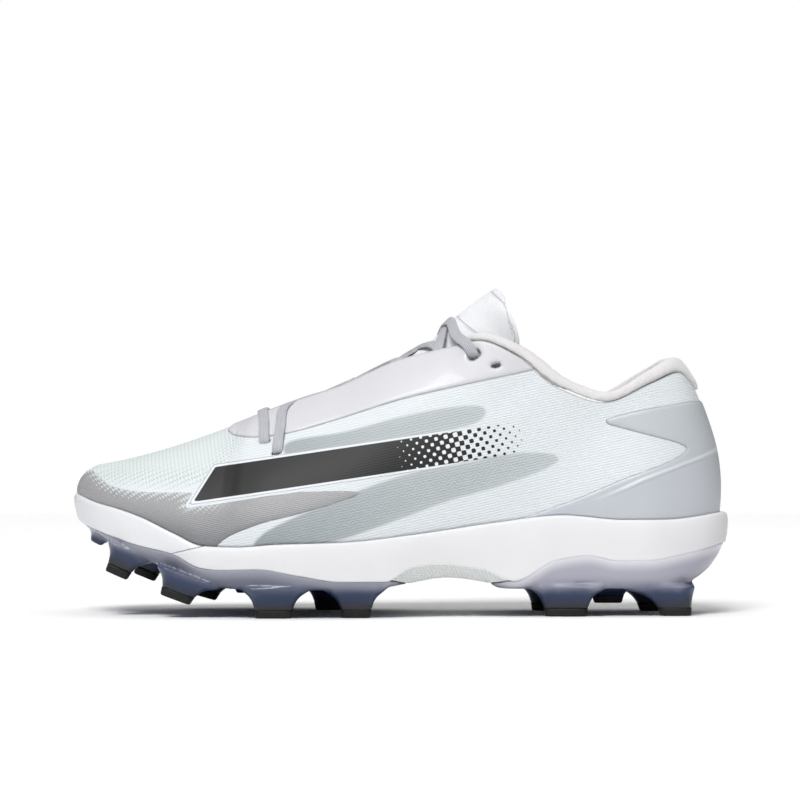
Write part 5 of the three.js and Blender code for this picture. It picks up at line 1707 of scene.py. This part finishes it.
# %% Foam and wrap
def moulded_skin(name, colour, shadow, grain, roughness, depth, coat=0.0):
    """A moulded surface: fine grain in its gloss and a soft cloud in its tone."""
    m = new_material(name, colour, roughness, Coat_Weight=coat)
    place = add_node(m, "TexCoord", output=3)
    millimetres = add_node(m, "Mapping", {0: place, 3: (1 / MM, 1 / MM, 1 / MM)})
    fine = add_node(m, "TexNoise", {"Vector": millimetres, "Scale": 1 / grain, "Detail": 3})
    cloud = add_node(m, "TexNoise", {"Vector": millimetres, "Scale": 0.04, "Detail": 2})
    soft = add_node(m, "MapRange", {0: cloud, 1: 0.35, 2: 0.7, 3: 0.0, 4: 0.35})
    mix = add_node(m, "Mix", {0: soft, MIX_A: linear(colour), MIX_B: linear(shadow)},
                   MIX_COLOUR, data_type="RGBA")
    rough = add_node(m, "MapRange", {0: fine, 3: roughness - 0.08, 4: roughness + 0.1})
    return finish_material(m, mix, fine, depth, rough)


midsole_eva = moulded_skin("moulded_eva_foam", "#e3e3e5", "#dbdbe0", 0.7, 0.6, 0.06)
toe_wrap_tpu = moulded_skin("moulded_tpu_wrap", "#e5e6e9", "#dcdee2", 0.5, 0.42, 0.03, 0.15)


# %% Arch insert, with rows of fine ribs
def arch_material():
    m = new_material("moulded_arch_tpu", "#e9edeb", 0.45)
    place = add_node(m, "TexCoord", output=3)
    x = add_node(m, "SeparateXYZ", {0: place})
    z = add_node(m, "SeparateXYZ", {0: place}, output=2)
    slant = add_node(m, "Math", {0: z, 1: 1.2, 2: x}, operation="MULTIPLY_ADD")
    turns = add_node(m, "Math", {0: slant, 1: TURN / (1.6 * MM)}, operation="MULTIPLY")
    wave = add_node(m, "Math", {0: turns}, operation="SINE")
    row_turns = add_node(m, "Math", {0: z, 1: TURN / (2.2 * MM)}, operation="MULTIPLY")
    rows = add_node(m, "Math", {0: row_turns}, operation="SINE")
    both = add_node(m, "Math", {0: wave, 1: rows}, operation="MULTIPLY")
    slit = add_node(m, "MapRange", {0: both, 1: 0.1, 2: 0.8, 3: 0.0, 4: 0.6})
    colour = add_node(m, "Mix", {0: slit, MIX_A: linear("#dfe2e1"), MIX_B: linear("#bfc5c3")},
                      MIX_COLOUR, data_type="RGBA")
    return finish_material(m, colour, both, 0.15)


arch_tpu = arch_material()


# %% Translucent plate
def plate_material():
    m = new_material("translucent_tpu_plate", "#8a97b2", 0.36, Coat_Weight=0.12,
                     Coat_Roughness=0.2)
    under_top = add_node(m, "Attribute", output=2, attribute_name="under_top")
    under_tread = add_node(m, "Attribute", output=2, attribute_name="under_tread")
    place = add_node(m, "TexCoord", output=3)
    millimetres = add_node(m, "Mapping", {0: place, 3: (1 / MM, 1 / MM, 1 / MM)})
    fine = add_node(m, "TexNoise", {"Vector": millimetres, "Scale": 1.4, "Detail": 3})
    cloud = add_node(m, "TexNoise", {"Vector": millimetres, "Scale": 0.1, "Detail": 2})
    clouded = add_node(m, "Math", {0: cloud, 1: 3.0, 2: under_tread}, operation="MULTIPLY_ADD")
    x = add_node(m, "SeparateXYZ", {0: place})
    at_heel = add_node(m, "MapRange", {0: x, 1: -10 * MM, 2: 55 * MM})
    thick = add_node(m, "MapRange", {0: clouded, 1: -3.0, 2: 4.5}, interpolation_type="SMOOTHSTEP")
    deep = add_node(m, "MapRange", {0: clouded, 1: 4.0, 2: 10.5}, interpolation_type="SMOOTHSTEP")
    rim = add_node(m, "MapRange", {0: under_top, 1: 6.0, 2: 0.5}, interpolation_type="SMOOTHSTEP")
    thin = add_node(m, "Mix", {0: at_heel, MIX_A: linear("#6a6d7d"), MIX_B: linear("#a6a5b3")},
                    MIX_COLOUR, data_type="RGBA")
    lip = add_node(m, "Mix", {0: at_heel, MIX_A: linear("#9597a3"), MIX_B: linear("#d3d2da")},
                   MIX_COLOUR, data_type="RGBA")
    colour = add_node(m, "Mix", {0: thick, MIX_A: thin, MIX_B: linear("#1c3156")},
                      MIX_COLOUR, data_type="RGBA")
    colour = add_node(m, "Mix", {0: deep, MIX_A: colour, MIX_B: linear("#191c22")},
                      MIX_COLOUR, data_type="RGBA")
    colour = add_node(m, "Mix", {0: rim, MIX_A: colour, MIX_B: lip}, MIX_COLOUR, data_type="RGBA")
    rough = add_node(m, "MapRange", {0: fine, 3: 0.26, 4: 0.42})
    return finish_material(m, colour, fine, 0.03, rough)


plate_tpu = plate_material()
tip_tpu = moulded_skin("moulded_tpu_stud_tip", "#09090b", "#121214", 0.8, 0.68, 0.08)


# %% [markdown]
# ## Lace webbing
# A flat polyester lace is woven from warp threads that run its whole length, so it shows
# fine lengthwise ridges with small steps where the weft crosses.


# %% Lace
def lace_material():
    m = new_material("woven_polyester_lace", "#b0b1b8", 0.75, Sheen_Weight=0.25)
    woven = add_node(m, "UVMap", uv_map="lace")
    along = add_node(m, "SeparateXYZ", {0: woven})
    across = add_node(m, "SeparateXYZ", {0: woven}, output=1)
    warp_turns = add_node(m, "Math", {0: across, 1: TURN / 0.85}, operation="MULTIPLY")
    warp = add_node(m, "Math", {0: warp_turns}, operation="SINE")
    half_turns = add_node(m, "Math", {0: across, 1: math.pi / 0.85}, operation="MULTIPLY")
    weft_turns = add_node(m, "Math", {0: along, 1: TURN / 1.1, 2: half_turns},
                          operation="MULTIPLY_ADD")
    weft = add_node(m, "Math", {0: weft_turns}, operation="SINE")
    height = add_node(m, "Math", {0: weft, 1: 0.35, 2: warp}, operation="MULTIPLY_ADD")
    # The low places of the weave are painted darker: painted shade in its hollows.
    dark = add_node(m, "MapRange", {0: height, 1: 0.0, 2: -1.2, 3: 0.0, 4: 0.75})
    cloud = add_node(m, "TexNoise", {"Vector": woven, "Scale": 0.15, "Detail": 2})
    tone = add_node(m, "Mix", {0: cloud, MIX_A: linear("#bfc0c5"), MIX_B: linear("#b0b1b9")},
                    MIX_COLOUR, data_type="RGBA")
    colour = add_node(m, "Mix", {0: dark, MIX_A: tone, MIX_B: linear("#a2a3ac")},
                      MIX_COLOUR, data_type="RGBA")
    return finish_material(m, colour, height, 0.07)


lace_webbing = lace_material()

# %% [markdown]
# ## Dressing the pieces
# Every piece gets its material, rides on the shoe's one body and stands for its solid.


# %% Dress
def dress(piece, material, node):
    piece.data.materials.clear()
    piece.data.materials.append(material)
    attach(piece, "root")
    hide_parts(node)


dress(knit, knit_cloth, "upper")
knit.data.materials.append(lining_cloth)
for inner_face in inner_faces:
    inner_face.material_index = 1
dress(eyestay, eyestay_tpu, "eyestay")
dress(toe_guard, toe_guard_tpu, "toe_guard")
dress(heel_counter, heel_counter_tpu, "heel_counter")
dress(midsole, midsole_eva, "midsole")
dress(toe_wrap, toe_wrap_tpu, "toe_wrap")
dress(arch_insert, arch_tpu, "arch_insert")
dress(forefoot_plate, plate_tpu, "forefoot_plate")
dress(heel_plate, plate_tpu, "heel_plate")
dress(insole, insole_cloth, "insole")
dress(collar, collar_cloth, "collar")
dress(tongue, tongue_cloth, "tongue")
dress(lace, lace_webbing, "laces")
for tip, node in stud_tips:
    dress(tip, tip_tpu, node)

# %% [markdown]
# ## Studio
# The camera stands level at the middle of the picture, 1.8 m from the shoe, as a product
# photographer sets it, with a long lens. The shoe stands on white paper. A large soft
# light hangs over it, and a broad sun from the front stands for a window. The camera sees
# the backdrop white, but it only lights softly, less at the horizon than from above.

# %% Floor and lights
FLOOR_RADIUS = 1.6
floor = added(bpy.ops.mesh.primitive_circle_add, "studio_floor", vertices=96,
              radius=FLOOR_RADIUS, fill_type="NGON")
paper = moulded_skin("matt_white_paper", "#ffffff", "#fefefe", 2.0, 0.85, 0.01)
floor.data.materials.append(paper)


def light(kind, name, place, direction, power):
    """A lamp at a place in metres, shining in a direction."""
    lamp = added(bpy.ops.object.light_add, name, type=kind, location=place)
    lamp.data.energy = power
    lamp.rotation_euler = Vector(direction).to_track_quat("-Z", "Y").to_euler()
    return lamp


overhead = light("AREA", "top_light", (0.1, 0.2, 2.2), (-0.1, -0.1, -2.2), power=9)
overhead.data.size = 2.2
window = light("SUN", "front_window", (-0.4, -1.2, 1.6), (0.16, 0.6, -0.78), power=2.4)
window.data.angle = math.radians(24)

# %% The backdrop: how much it lights, from the horizon up to the sky
HORIZON_GLOW = 0.06
SKY_GLOW = 0.42
SKY_HEIGHT = 0.8
world = bpy.data.worlds.new("studio")
bpy.context.scene.world = world
world.use_nodes = True
direction = add_node(world, "TexCoord")
height = add_node(world, "SeparateXYZ", {0: direction}, output=2)
glow = add_node(world, "MapRange", {
    0: height, 1: 0.0, 2: SKY_HEIGHT, 3: HORIZON_GLOW, 4: SKY_GLOW})
seen = add_node(world, "LightPath", output="Is Camera Ray")
strength = add_node(world, "Math", {0: seen, 1: glow}, operation="MAXIMUM")
background = world.node_tree.nodes["Background"]
background.inputs["Color"].default_value = (1, 1, 1, 1)
world.node_tree.links.new(strength, background.inputs["Strength"])

# %% Camera
PICTURE_X = -0.1
PICTURE_Z = 97.6
DISTANCE = 1800.0
SENSOR = 36
LENS = 177
camera = added(
    bpy.ops.object.camera_add, "Camera",
    location=(PICTURE_X * MM, -DISTANCE * MM, PICTURE_Z * MM), rotation=(math.pi / 2, 0, 0))
camera.data.sensor_width = SENSOR
camera.data.lens = LENS
bpy.context.scene.camera = camera
bpy.context.scene.view_settings.view_transform = "Standard"
